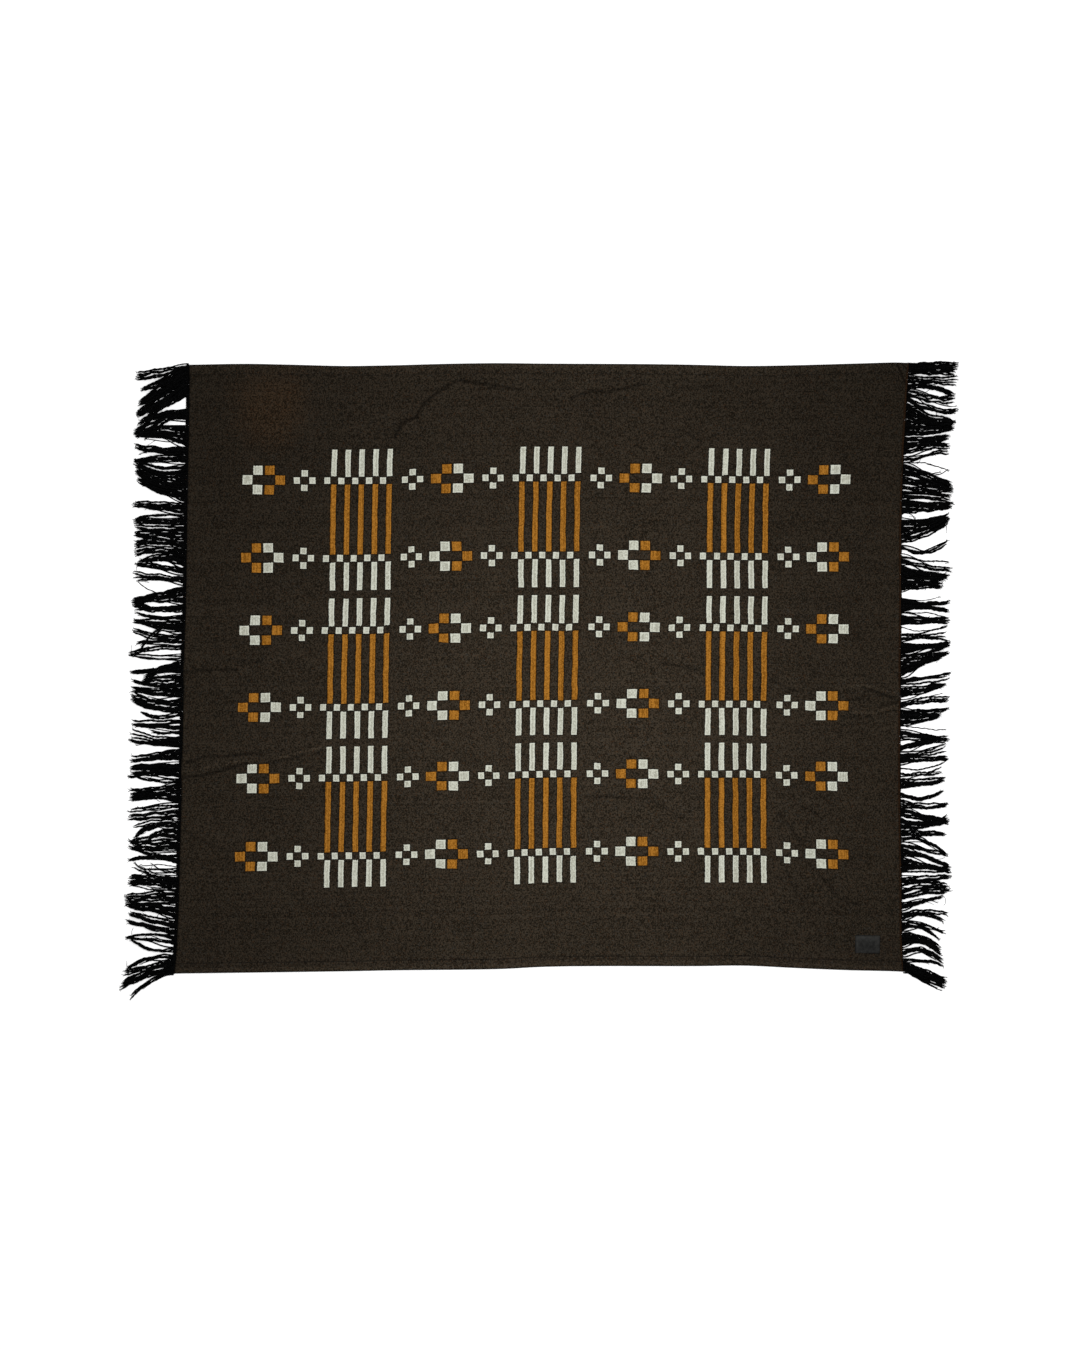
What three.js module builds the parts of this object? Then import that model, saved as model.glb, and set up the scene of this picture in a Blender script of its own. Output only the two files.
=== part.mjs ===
// A woven blanket laid out flat and open, with a folded hem along both long edges, a row of loose
// yarn fringe along both short edges and a small patch sewn near one corner.
// Millimetres. +X runs along the blanket, +Y across it and +Z up. The floor is at Z 0.
import * as THREE from 'three';

// Thickness of the woven cloth, and of the hems, where it is folded over once
const CLOTH_THICKNESS = 2.4;
const HEM_THICKNESS = 4.6;
const HEM_WIDTH = 21;
const HEM_STEP = 4;

// Steps of the cloth's grid, along the blanket and across it between the hems
const STEPS_ALONG = 32;
const STEPS_ACROSS = 42;

// The strip that the fringe hangs from, next to the cloth's short edge
const SEAM_GAP = 0.4;
const STRIP_WIDTH = 4.6;
const STRIP_HEIGHT = 3.2;

// A lock of fringe, from its root to its tip
const LOCK_HEIGHTS = [STRIP_HEIGHT, 4.4, 3.9, 2.4];
const LOCK_CLEARANCE = 1.5;

// The sewn patch, its lie on the cloth and its raised middle
const PATCH = { x: 696.8, y: -589.4, length: 53.5, width: 39, turn: -0.028 };
const PATCH_GAP = 0.3;
const PATCH_RIM = 1.1;
const PATCH_MIDDLE = 1.5;
const PATCH_BEVEL = 1.6;
const PATCH_CORNER_RADIUS = 3;
const PATCH_CORNER_STEPS = 3;

// The four edges as they lie, uneven, each by its distance from the middle of the blanket
const TOP_EDGE = [
  { at: -753, edge: 649 },
  { at: -634, edge: 651 },
  { at: -527, edge: 649 },
  { at: -420, edge: 646.5 },
  { at: -313, edge: 648 },
  { at: -206, edge: 651 },
  { at: -99, edge: 652.5 },
  { at: 7, edge: 651.5 },
  { at: 221, edge: 650.5 },
  { at: 328, edge: 649 },
  { at: 435, edge: 646.5 },
  { at: 542, edge: 648 },
  { at: 649, edge: 651 },
  { at: 756, edge: 654 },
  { at: 784, edge: 653 },
];
const BOTTOM_EDGE = [
  { at: -785, edge: -652 },
  { at: -634, edge: -650 },
  { at: -420, edge: -647 },
  { at: -313, edge: -645 },
  { at: -99, edge: -642.5 },
  { at: 7, edge: -637.5 },
  { at: 114, edge: -636 },
  { at: 328, edge: -636 },
  { at: 435, edge: -635 },
  { at: 542, edge: -640 },
  { at: 649, edge: -644.5 },
  { at: 756, edge: -647 },
  { at: 772, edge: -648 },
];
const LEFT_EDGE = [
  { at: 649, edge: -753 },
  { at: 510, edge: -755 },
  { at: 360, edge: -758 },
  { at: 168, edge: -761 },
  { at: 40, edge: -764.5 },
  { at: -67, edge: -766.5 },
  { at: -281, edge: -771 },
  { at: -388, edge: -774 },
  { at: -538, edge: -778 },
  { at: -652, edge: -785 },
];
const RIGHT_EDGE = [
  { at: 653, edge: 784 },
  { at: 606, edge: 780.5 },
  { at: 531, edge: 776 },
  { at: 446, edge: 771.5 },
  { at: 318, edge: 767.5 },
  { at: 147, edge: 767 },
  { at: -25, edge: 765.5 },
  { at: -281, edge: 765 },
  { at: -452, edge: 767.5 },
  { at: -581, edge: 768.5 },
  { at: -648, edge: 772 },
];

// Soft creases: the line that each one follows, its height, and how far its slopes reach to each side
const CREASES = [
  { x1: -767, y1: -214, x2: -652, y2: -202, height: 6.5, reach: 34 },
  { x1: -652, y1: -202, x2: -540, y2: -188, height: 4.5, reach: 34 },
  { x1: -540, y1: -180, x2: -469, y2: -161, height: 3.5, reach: 32 },
  { x1: -311, y1: 493, x2: -181, y2: 613, height: 4, reach: 38 },
  { x1: -181, y1: 613, x2: -61, y2: 600, height: 3.5, reach: 36 },
  { x1: 57, y1: 583, x2: 196, y2: 605, height: 3.5, reach: 36 },
  { x1: 296, y1: 600, x2: 405, y2: 591, height: 3, reach: 36 },
  { x1: -764, y1: -5, x2: -482, y2: -5, height: 3.5, reach: 34 },
  { x1: -311, y1: -3, x2: -61, y2: 7, height: 3, reach: 34 },
  { x1: 255, y1: 7, x2: 332, y2: 3, height: 2.5, reach: 34 },
  { x1: -546, y1: 123, x2: -469, y2: 144, height: 3, reach: 34 },
  { x1: -311, y1: 174, x2: -217, y2: 198, height: 3, reach: 34 },
  { x1: -679, y1: 317, x2: -469, y2: 347, height: 3, reach: 36 },
  { x1: -752, y1: -467, x2: -662, y2: -437, height: 3.5, reach: 34 },
  { x1: -722, y1: -358, x2: -672, y2: -388, height: 3, reach: 32 },
  { x1: -253, y1: -288, x2: -211, y2: -341, height: 3, reach: 34 },
  { x1: 489, y1: -27, x2: 525, y2: -44, height: 2.5, reach: 32 },
  { x1: 642, y1: -46, x2: 758, y2: -59, height: 3.5, reach: 28 },
  { x1: 645, y1: -100, x2: 737, y2: -105, height: 3, reach: 28 },
  { x1: 104, y1: -268, x2: 206, y2: -273, height: 3.5, reach: 34 },
  { x1: 206, y1: -273, x2: 303, y2: -324, height: 3.5, reach: 34 },
  { x1: 501, y1: -275, x2: 572, y2: -311, height: 3.5, reach: 34 },
  { x1: 516, y1: -317, x2: 555, y2: -377, height: 3, reach: 34 },
  { x1: 518, y1: -418, x2: 542, y2: -480, height: 3, reach: 34 },
  { x1: 591, y1: -437, x2: 632, y2: -491, height: 3.5, reach: 34 },
  { x1: 285, y1: 510, x2: 339, y2: 486, height: 3, reach: 34 },
  { x1: 495, y1: 317, x2: 531, y2: 343, height: 3, reach: 34 },
  { x1: 645, y1: 427, x2: 764, y2: 427, height: 3, reach: 34 },
  { x1: 217, y1: 560, x2: 219, y2: 120, height: 1.8, reach: 52 },
  { x1: 219, y1: 120, x2: 214, y2: -520, height: 1.6, reach: 52 },
  { x1: -388, y1: 570, x2: -386, y2: 430, height: 1.6, reach: 50 },
  { x1: 540, y1: -500, x2: 543, y2: -590, height: 1.6, reach: 50 },
];

// Locks of fringe in order down each short edge. from and to bound the root, tip is where the lock ends,
// all measured down from the top corner. reach is how far it sticks out, bend how far its middle bows
// downwards, and end the width of its tip.
const LEFT_LOCKS = [
  { from: 1, to: 9, tip: 24, reach: 108, bend: 3, end: 12 },
  { from: 11, to: 28, tip: 51, reach: 98, bend: 4, end: 8 },
  { from: 30, to: 46, tip: 80, reach: 104, bend: 4, end: 8 },
  { from: 48, to: 64, tip: 104, reach: 107, bend: 5, end: 9 },
  { from: 93, to: 112, tip: 124, reach: 107, bend: 0, end: 8 },
  { from: 113, to: 133, tip: 134, reach: 96, bend: 2, end: 7 },
  { from: 135, to: 153, tip: 148, reach: 112, bend: 0, end: 12 },
  { from: 155, to: 175, tip: 170, reach: 110, bend: -2, end: 8 },
  { from: 176, to: 186, tip: 186, reach: 93, bend: 0, end: 6 },
  { from: 195, to: 206, tip: 203, reach: 111, bend: -6, end: 6 },
  { from: 207, to: 228, tip: 213, reach: 108, bend: 4, end: 8 },
  { from: 229, to: 249, tip: 225, reach: 109, bend: 4, end: 9 },
  { from: 250, to: 270, tip: 238, reach: 107, bend: 5, end: 9 },
  { from: 271, to: 291, tip: 250, reach: 104, bend: 6, end: 9 },
  { from: 294, to: 318, tip: 298, reach: 112, bend: 5, end: 8 },
  { from: 325, to: 345, tip: 331, reach: 110, bend: -5, end: 7 },
  { from: 347, to: 370, tip: 351, reach: 106, bend: 4, end: 9 },
  { from: 372, to: 381, tip: 366, reach: 109, bend: 2, end: 6 },
  { from: 383, to: 403, tip: 382, reach: 107, bend: 5, end: 8 },
  { from: 405, to: 430, tip: 402, reach: 105, bend: 6, end: 9 },
  { from: 433, to: 445, tip: 427, reach: 105, bend: 3, end: 7 },
  { from: 449, to: 470, tip: 450, reach: 108, bend: 4, end: 13 },
  { from: 472, to: 482, tip: 466, reach: 102, bend: 8, end: 6 },
  { from: 483, to: 505, tip: 505, reach: 112, bend: 0, end: 9 },
  { from: 511, to: 534, tip: 521, reach: 110, bend: 4, end: 8 },
  { from: 538, to: 551, tip: 534, reach: 105, bend: 3, end: 7 },
  { from: 553, to: 569, tip: 548, reach: 110, bend: 3, end: 8 },
  { from: 577, to: 585, tip: 569, reach: 109, bend: 2, end: 6 },
  { from: 590, to: 597, tip: 592, reach: 103, bend: 0, end: 5 },
  { from: 601, to: 611, tip: 614, reach: 114, bend: -6, end: 6 },
  { from: 619, to: 627, tip: 623, reach: 114, bend: 4, end: 5 },
  { from: 632, to: 653, tip: 648, reach: 108, bend: -3, end: 9 },
  { from: 655, to: 675, tip: 661, reach: 108, bend: 3, end: 9 },
  { from: 676, to: 696, tip: 677, reach: 107, bend: 4, end: 10 },
  { from: 698, to: 716, tip: 694, reach: 110, bend: 4, end: 9 },
  { from: 717, to: 734, tip: 710, reach: 109, bend: 3, end: 9 },
  { from: 735, to: 742, tip: 723, reach: 104, bend: 3, end: 6 },
  { from: 744, to: 750, tip: 738, reach: 77, bend: 3, end: 4 },
  { from: 757, to: 776, tip: 761, reach: 106, bend: 3, end: 9 },
  { from: 778, to: 801, tip: 789, reach: 108, bend: -3, end: 9 },
  { from: 808, to: 815, tip: 803, reach: 111, bend: 2, end: 6 },
  { from: 817, to: 837, tip: 838, reach: 107, bend: 0, end: 8 },
  { from: 838, to: 855, tip: 857, reach: 106, bend: 0, end: 9 },
  { from: 856, to: 872, tip: 874, reach: 113, bend: 0, end: 10 },
  { from: 885, to: 890, tip: 886, reach: 67, bend: 0, end: 4 },
  { from: 892, to: 910, tip: 907, reach: 110, bend: 2, end: 9 },
  { from: 911, to: 930, tip: 928, reach: 99, bend: 0, end: 8 },
  { from: 936, to: 949, tip: 953, reach: 111, bend: 0, end: 7 },
  { from: 951, to: 980, tip: 968, reach: 111, bend: -3, end: 9 },
  { from: 981, to: 1003, tip: 1002, reach: 100, bend: -2, end: 8 },
  { from: 1018, to: 1048, tip: 1030, reach: 109, bend: 4, end: 9 },
  { from: 1056, to: 1065, tip: 1056, reach: 108, bend: 2, end: 6 },
  { from: 1075, to: 1081, tip: 1082, reach: 104, bend: 0, end: 4 },
  { from: 1084, to: 1091, tip: 1091, reach: 109, bend: 0, end: 6 },
  { from: 1093, to: 1110, tip: 1104, reach: 109, bend: 3, end: 8 },
  { from: 1118, to: 1123, tip: 1116, reach: 65, bend: 0, end: 4 },
  { from: 1126, to: 1133, tip: 1136, reach: 111, bend: 0, end: 5 },
  { from: 1135, to: 1166, tip: 1149, reach: 113, bend: 5, end: 11 },
  { from: 1168, to: 1187, tip: 1164, reach: 100, bend: 5, end: 8 },
  { from: 1189, to: 1203, tip: 1176, reach: 106, bend: 4, end: 7 },
  { from: 1204, to: 1218, tip: 1187, reach: 108, bend: 5, end: 8 },
  { from: 1234, to: 1246, tip: 1225, reach: 107, bend: -6, end: 6 },
  { from: 1249, to: 1253, tip: 1237, reach: 96, bend: 0, end: 4 },
  { from: 1257, to: 1264, tip: 1284, reach: 105, bend: 6, end: 5 },
  { from: 1270, to: 1279, tip: 1301, reach: 104, bend: 3, end: 6 },
  { from: 1281, to: 1290, tip: 1326, reach: 112, bend: 4, end: 9 },
  { from: 1292, to: 1300, tip: 1348, reach: 93, bend: 6, end: 4 },
];
const RIGHT_LOCKS = [
  { from: 1, to: 20, tip: 11, reach: 102, bend: 0, end: 17 },
  { from: 27, to: 40, tip: 36, reach: 103, bend: 0, end: 15 },
  { from: 46, to: 52, tip: 66, reach: 100, bend: -5, end: 5 },
  { from: 55, to: 62, tip: 76, reach: 101, bend: -4, end: 6 },
  { from: 77, to: 92, tip: 101, reach: 106, bend: 2, end: 8 },
  { from: 96, to: 118, tip: 118, reach: 104, bend: 0, end: 9 },
  { from: 119, to: 141, tip: 131, reach: 104, bend: 3, end: 9 },
  { from: 145, to: 164, tip: 144, reach: 101, bend: 3, end: 8 },
  { from: 166, to: 177, tip: 157, reach: 97, bend: 3, end: 6 },
  { from: 180, to: 197, tip: 177, reach: 97, bend: 4, end: 8 },
  { from: 200, to: 205, tip: 190, reach: 95, bend: 9, end: 5 },
  { from: 213, to: 219, tip: 221, reach: 97, bend: 0, end: 4 },
  { from: 222, to: 234, tip: 231, reach: 97, bend: 2, end: 7 },
  { from: 236, to: 249, tip: 255, reach: 103, bend: -3, end: 9 },
  { from: 250, to: 269, tip: 268, reach: 105, bend: -3, end: 10 },
  { from: 274, to: 282, tip: 285, reach: 103, bend: 0, end: 6 },
  { from: 286, to: 293, tip: 294, reach: 102, bend: 0, end: 5 },
  { from: 295, to: 319, tip: 301, reach: 110, bend: 1, end: 8 },
  { from: 321, to: 341, tip: 318, reach: 95, bend: 6, end: 7 },
  { from: 343, to: 355, tip: 328, reach: 99, bend: 6, end: 6 },
  { from: 358, to: 368, tip: 337, reach: 94, bend: 7, end: 6 },
  { from: 370, to: 377, tip: 345, reach: 98, bend: 7, end: 5 },
  { from: 379, to: 385, tip: 353, reach: 96, bend: 7, end: 5 },
  { from: 392, to: 398, tip: 382, reach: 98, bend: 9, end: 5 },
  { from: 405, to: 410, tip: 423, reach: 98, bend: 0, end: 4 },
  { from: 412, to: 418, tip: 435, reach: 104, bend: 0, end: 5 },
  { from: 422, to: 444, tip: 447, reach: 107, bend: 0, end: 9 },
  { from: 446, to: 463, tip: 459, reach: 100, bend: 0, end: 9 },
  { from: 467, to: 483, tip: 477, reach: 88, bend: 2, end: 8 },
  { from: 486, to: 491, tip: 490, reach: 78, bend: 2, end: 4 },
  { from: 496, to: 508, tip: 512, reach: 102, bend: -3, end: 8 },
  { from: 517, to: 527, tip: 530, reach: 101, bend: 0, end: 7 },
  { from: 531, to: 543, tip: 541, reach: 92, bend: 0, end: 7 },
  { from: 544, to: 562, tip: 552, reach: 102, bend: 4, end: 8 },
  { from: 564, to: 569, tip: 567, reach: 98, bend: 2, end: 5 },
  { from: 575, to: 580, tip: 578, reach: 98, bend: 3, end: 5 },
  { from: 587, to: 593, tip: 589, reach: 102, bend: 0, end: 5 },
  { from: 598, to: 610, tip: 602, reach: 103, bend: 3, end: 7 },
  { from: 613, to: 631, tip: 615, reach: 92, bend: 5, end: 8 },
  { from: 637, to: 643, tip: 628, reach: 105, bend: 7, end: 5 },
  { from: 644, to: 658, tip: 640, reach: 95, bend: 7, end: 7 },
  { from: 662, to: 686, tip: 661, reach: 105, bend: 6, end: 12 },
  { from: 687, to: 697, tip: 674, reach: 98, bend: 5, end: 7 },
  { from: 698, to: 716, tip: 687, reach: 97, bend: 7, end: 8 },
  { from: 717, to: 733, tip: 713, reach: 101, bend: 5, end: 9 },
  { from: 734, to: 742, tip: 725, reach: 99, bend: 4, end: 6 },
  { from: 744, to: 750, tip: 737, reach: 103, bend: 4, end: 5 },
  { from: 752, to: 758, tip: 751, reach: 86, bend: 2, end: 5 },
  { from: 763, to: 776, tip: 783, reach: 96, bend: -3, end: 7 },
  { from: 786, to: 808, tip: 799, reach: 100, bend: -5, end: 9 },
  { from: 813, to: 820, tip: 811, reach: 90, bend: 0, end: 5 },
  { from: 824, to: 831, tip: 821, reach: 92, bend: 3, end: 5 },
  { from: 837, to: 847, tip: 832, reach: 102, bend: 4, end: 7 },
  { from: 849, to: 870, tip: 845, reach: 100, bend: 4, end: 9 },
  { from: 873, to: 880, tip: 857, reach: 95, bend: 7, end: 5 },
  { from: 887, to: 910, tip: 889, reach: 95, bend: 4, end: 11 },
  { from: 914, to: 920, tip: 909, reach: 95, bend: 9, end: 5 },
  { from: 929, to: 936, tip: 923, reach: 80, bend: 2, end: 5 },
  { from: 942, to: 948, tip: 941, reach: 101, bend: 0, end: 5 },
  { from: 951, to: 966, tip: 959, reach: 95, bend: 5, end: 7 },
  { from: 970, to: 989, tip: 982, reach: 103, bend: 0, end: 11 },
  { from: 991, to: 1007, tip: 1003, reach: 96, bend: -4, end: 8 },
  { from: 1008, to: 1016, tip: 1014, reach: 80, bend: 0, end: 6 },
  { from: 1024, to: 1031, tip: 1029, reach: 97, bend: 0, end: 6 },
  { from: 1034, to: 1039, tip: 1050, reach: 98, bend: -3, end: 4 },
  { from: 1043, to: 1052, tip: 1071, reach: 100, bend: -4, end: 6 },
  { from: 1071, to: 1088, tip: 1085, reach: 104, bend: 2, end: 9 },
  { from: 1100, to: 1109, tip: 1099, reach: 103, bend: 2, end: 6 },
  { from: 1113, to: 1118, tip: 1116, reach: 96, bend: 2, end: 4 },
  { from: 1125, to: 1138, tip: 1127, reach: 98, bend: 3, end: 7 },
  { from: 1140, to: 1155, tip: 1138, reach: 103, bend: 5, end: 8 },
  { from: 1157, to: 1171, tip: 1150, reach: 87, bend: 6, end: 7 },
  { from: 1174, to: 1191, tip: 1180, reach: 97, bend: -5, end: 8 },
  { from: 1197, to: 1205, tip: 1214, reach: 91, bend: -3, end: 6 },
  { from: 1210, to: 1223, tip: 1225, reach: 88, bend: 0, end: 7 },
  { from: 1229, to: 1247, tip: 1261, reach: 87, bend: -6, end: 9 },
  { from: 1254, to: 1261, tip: 1275, reach: 84, bend: -4, end: 6 },
  { from: 1267, to: 1274, tip: 1287, reach: 86, bend: -3, end: 6 },
  { from: 1277, to: 1287, tip: 1305, reach: 90, bend: -2, end: 9 },
  { from: 1288, to: 1294, tip: 1322, reach: 88, bend: 0, end: 9 },
  { from: 1295, to: 1301, tip: 1338, reach: 80, bend: 3, end: 5 },
];

const CLOTH = new THREE.MeshStandardMaterial({ color: 0x26201a, roughness: 0.95, metalness: 0 });
const FRINGE = new THREE.MeshStandardMaterial({ color: 0x0b0a0a, roughness: 0.9, metalness: 0 });
const PATCH_LEATHER = new THREE.MeshStandardMaterial({ color: 0x232120, roughness: 0.6, metalness: 0 });

// A thin body of upright posts, each with a low and a high end, joined by faces. Its sides close by themselves
// along every edge that only one face has.
class Slab {
  constructor() {
    this.points = [];
    this.faces = [];
  }

  post(x, y, low, high) {
    this.points.push(x, y, low, x, y, high);
    return this.points.length / 6 - 1;
  }

  // Adds a face over three or four posts, turned so that they run counter-clockwise seen from above.
  face(...posts) {
    const at = (i) => [this.points[posts[i] * 6], this.points[posts[i] * 6 + 1]];
    let area = 0;
    posts.forEach((post, i) => {
      const [x, y] = at(i);
      const [nextX, nextY] = at((i + 1) % posts.length);
      area += x * nextY - nextX * y;
    });
    const turned = area < 0 ? posts.reverse() : posts;
    this.faces.push([turned[0], turned[1], turned[2]]);
    if (turned.length === 4) {
      this.faces.push([turned[0], turned[2], turned[3]]);
    }
  }

  mesh(name, material) {
    const low = (post) => post * 2;
    const high = (post) => post * 2 + 1;
    const edges = new Set();
    for (const [a, b, c] of this.faces) {
      edges.add(`${a},${b}`).add(`${b},${c}`).add(`${c},${a}`);
    }
    const index = [];
    for (const [a, b, c] of this.faces) {
      index.push(high(a), high(b), high(c));
      index.push(low(c), low(b), low(a));
      for (const [from, to] of [[a, b], [b, c], [c, a]]) {
        if (!edges.has(`${to},${from}`)) {
          index.push(low(from), low(to), high(to));
          index.push(low(from), high(to), high(from));
        }
      }
    }
    const geometry = new THREE.BufferGeometry();
    geometry.setAttribute('position', new THREE.Float32BufferAttribute(this.points, 3));
    geometry.setIndex(index);
    const mesh = new THREE.Mesh(geometry, material);
    mesh.name = name;
    return mesh;
  }
}

// Reads an edge's table at a distance along it, on a smooth curve through its rows.
function readEdge(table, at) {
  const rising = table[1].at > table[0].at;
  let row = 0;
  while (row < table.length - 2 && (rising ? at > table[row + 1].at : at < table[row + 1].at)) {
    row += 1;
  }
  const before = table[Math.max(row - 1, 0)];
  const start = table[row];
  const end = table[row + 1];
  const after = table[Math.min(row + 2, table.length - 1)];
  const span = end.at - start.at;
  const t = THREE.MathUtils.clamp((at - start.at) / span, 0, 1);
  const startSlope = ((end.edge - before.edge) / (end.at - before.at)) * span;
  const endSlope = ((after.edge - start.edge) / (after.at - start.at)) * span;
  return (
    (2 * t ** 3 - 3 * t ** 2 + 1) * start.edge +
    (t ** 3 - 2 * t ** 2 + t) * startSlope +
    (3 * t ** 2 - 2 * t ** 3) * end.edge +
    (t ** 3 - t ** 2) * endSlope
  );
}

function edgePoint(table, part, upright) {
  const at = THREE.MathUtils.lerp(table[0].at, table[table.length - 1].at, part);
  const edge = readEdge(table, at);
  return upright ? new THREE.Vector2(edge, at) : new THREE.Vector2(at, edge);
}

// Where a point of the weave lies: along and down run from 0 to 1, and the four edges pull the rest with them.
function clothPoint(along, down) {
  const top = edgePoint(TOP_EDGE, along, false);
  const bottom = edgePoint(BOTTOM_EDGE, along, false);
  const left = edgePoint(LEFT_EDGE, down, true);
  const right = edgePoint(RIGHT_EDGE, down, true);
  const corners = edgePoint(TOP_EDGE, 0, false).multiplyScalar((1 - along) * (1 - down));
  corners.addScaledVector(edgePoint(TOP_EDGE, 1, false), along * (1 - down));
  corners.addScaledVector(edgePoint(BOTTOM_EDGE, 0, false), (1 - along) * down);
  corners.addScaledVector(edgePoint(BOTTOM_EDGE, 1, false), along * down);
  const point = top.multiplyScalar(1 - down).addScaledVector(bottom, down);
  return point.addScaledVector(left, 1 - along).addScaledVector(right, along).sub(corners);
}

// How far the creases lift the cloth off the floor.
function creaseLift(x, y) {
  let lift = 0;
  for (const { x1, y1, x2, y2, height, reach } of CREASES) {
    const line = new THREE.Vector2(x2 - x1, y2 - y1);
    const along = THREE.MathUtils.clamp(((x - x1) * line.x + (y - y1) * line.y) / line.lengthSq(), 0, 1);
    const away = Math.hypot(x - x1 - line.x * along, y - y1 - line.y * along) / reach;
    lift = Math.max(lift, away < 1 ? height * (1 - away * away) ** 2 : 0);
  }
  return lift;
}

function makeCloth() {
  const height = TOP_EDGE[0].edge - BOTTOM_EDGE[0].edge;
  const hem = HEM_WIDTH / height;
  const hemStep = (HEM_WIDTH + HEM_STEP) / height;
  const downs = [0, hem];
  for (let step = 0; step <= STEPS_ACROSS; step += 1) {
    downs.push(THREE.MathUtils.lerp(hemStep, 1 - hemStep, step / STEPS_ACROSS));
  }
  downs.push(1 - hem, 1);
  const slab = new Slab();
  const rows = downs.map((down) => {
    const inHem = down <= hem || down >= 1 - hem;
    const row = [];
    for (let step = 0; step <= STEPS_ALONG; step += 1) {
      const point = clothPoint(step / STEPS_ALONG, down);
      const lift = creaseLift(point.x, point.y);
      const thickness = inHem ? HEM_THICKNESS : CLOTH_THICKNESS;
      row.push(slab.post(point.x, point.y, lift, lift + thickness));
    }
    return row;
  });
  for (let row = 0; row + 1 < rows.length; row += 1) {
    for (let step = 0; step < STEPS_ALONG; step += 1) {
      slab.face(rows[row][step], rows[row + 1][step], rows[row + 1][step + 1], rows[row][step + 1]);
    }
  }
  return slab.mesh('cloth', CLOTH);
}

// One short edge's fringe: a strip next to the cloth, and the locks that grow from its outer side.
function makeFringe(name, table, locks, side) {
  const top = table[0].at;
  const bottom = table[table.length - 1].at;
  const slab = new Slab();
  const stripPosts = (down) => {
    const y = top - down;
    const edge = readEdge(table, y);
    const inner = slab.post(edge + side * SEAM_GAP, y, 0, STRIP_HEIGHT);
    const outer = slab.post(edge + side * (SEAM_GAP + STRIP_WIDTH), y, 0, STRIP_HEIGHT);
    return { inner, outer };
  };
  let last = stripPosts(0);
  for (const lock of locks) {
    const start = stripPosts(lock.from);
    const end = stripPosts(lock.to);
    slab.face(last.inner, last.outer, start.outer, start.inner);
    slab.face(start.inner, start.outer, end.outer, end.inner);
    growLock(slab, lock, start.outer, end.outer, top, side);
    last = end;
  }
  const close = stripPosts(top - bottom);
  slab.face(last.inner, last.outer, close.outer, close.inner);
  return slab.mesh(name, FRINGE);
}

// A lock lies level on the floor, bends from its root to its tip, and narrows as it goes.
function growLock(slab, lock, rootStart, rootEnd, top, side) {
  const { from, to, tip, reach, bend, end } = lock;
  const rootX = slab.points[rootStart * 6];
  const length = reach - SEAM_GAP - STRIP_WIDTH;
  const steps = LOCK_HEIGHTS.length - 1;
  let above = rootStart;
  let below = rootEnd;
  for (let step = 1; step <= steps; step += 1) {
    const t = step / steps;
    const turned = THREE.MathUtils.smoothstep(t, 0, 1);
    const middle = THREE.MathUtils.lerp((from + to) / 2, tip, turned) + bend * Math.sin(Math.PI * t);
    const half = THREE.MathUtils.lerp(to - from - LOCK_CLEARANCE, end, Math.sqrt(t)) / 2;
    const x = rootX + side * length * t;
    const nextAbove = slab.post(x, top - middle + half, 0, LOCK_HEIGHTS[step]);
    const nextBelow = slab.post(x, top - middle - half, 0, LOCK_HEIGHTS[step]);
    slab.face(above, nextAbove, nextBelow, below);
    above = nextAbove;
    below = nextBelow;
  }
}

// A small patch with round corners and a thinner rim, lying on the cloth.
function makePatch() {
  const slab = new Slab();
  const ring = (inset, height) => {
    const posts = [];
    const radius = PATCH_CORNER_RADIUS;
    const cornerX = PATCH.length / 2 - inset - radius;
    const cornerY = PATCH.width / 2 - inset - radius;
    for (let corner = 0; corner < 4; corner += 1) {
      const signX = corner === 0 || corner === 3 ? 1 : -1;
      const signY = corner < 2 ? 1 : -1;
      for (let step = 0; step <= PATCH_CORNER_STEPS; step += 1) {
        const angle = ((corner + step / PATCH_CORNER_STEPS) * Math.PI) / 2;
        const x = signX * cornerX + radius * Math.cos(angle);
        const y = signY * cornerY + radius * Math.sin(angle);
        posts.push(slab.post(x, y, 0, height));
      }
    }
    return posts;
  };
  const rim = ring(0, PATCH_RIM);
  const raised = ring(PATCH_BEVEL, PATCH_MIDDLE);
  const centre = slab.post(0, 0, 0, PATCH_MIDDLE);
  rim.forEach((post, i) => {
    const next = (i + 1) % rim.length;
    slab.face(post, rim[next], raised[next], raised[i]);
    slab.face(raised[i], raised[next], centre);
  });
  const patch = slab.mesh('patch', PATCH_LEATHER);
  patch.position.set(PATCH.x, PATCH.y, CLOTH_THICKNESS + PATCH_GAP);
  patch.rotation.z = PATCH.turn;
  return patch;
}

const blanket = new THREE.Group();
blanket.add(makeCloth());
blanket.add(makeFringe('fringe_left', LEFT_EDGE, LEFT_LOCKS, -1));
blanket.add(makeFringe('fringe_right', RIGHT_EDGE, RIGHT_LOCKS, 1));
blanket.add(makePatch());

// The origin goes under the middle of the whole blanket, on the floor.
const box = new THREE.Box3().setFromObject(blanket);
const middle = box.getCenter(new THREE.Vector3());
blanket.position.set(-middle.x, -middle.y, 0);

export default blanket;
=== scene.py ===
"""Flat fringed woven blanket, seen from straight above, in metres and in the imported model's frame.

The cloth lies on the same edge lines and creases as its solid. A place on it is given by along, 0 at the
left fringe and 1 at the right one, and down, 0 at the top hem and 1 at the bottom one.
"""

import math
from collections import namedtuple

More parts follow.
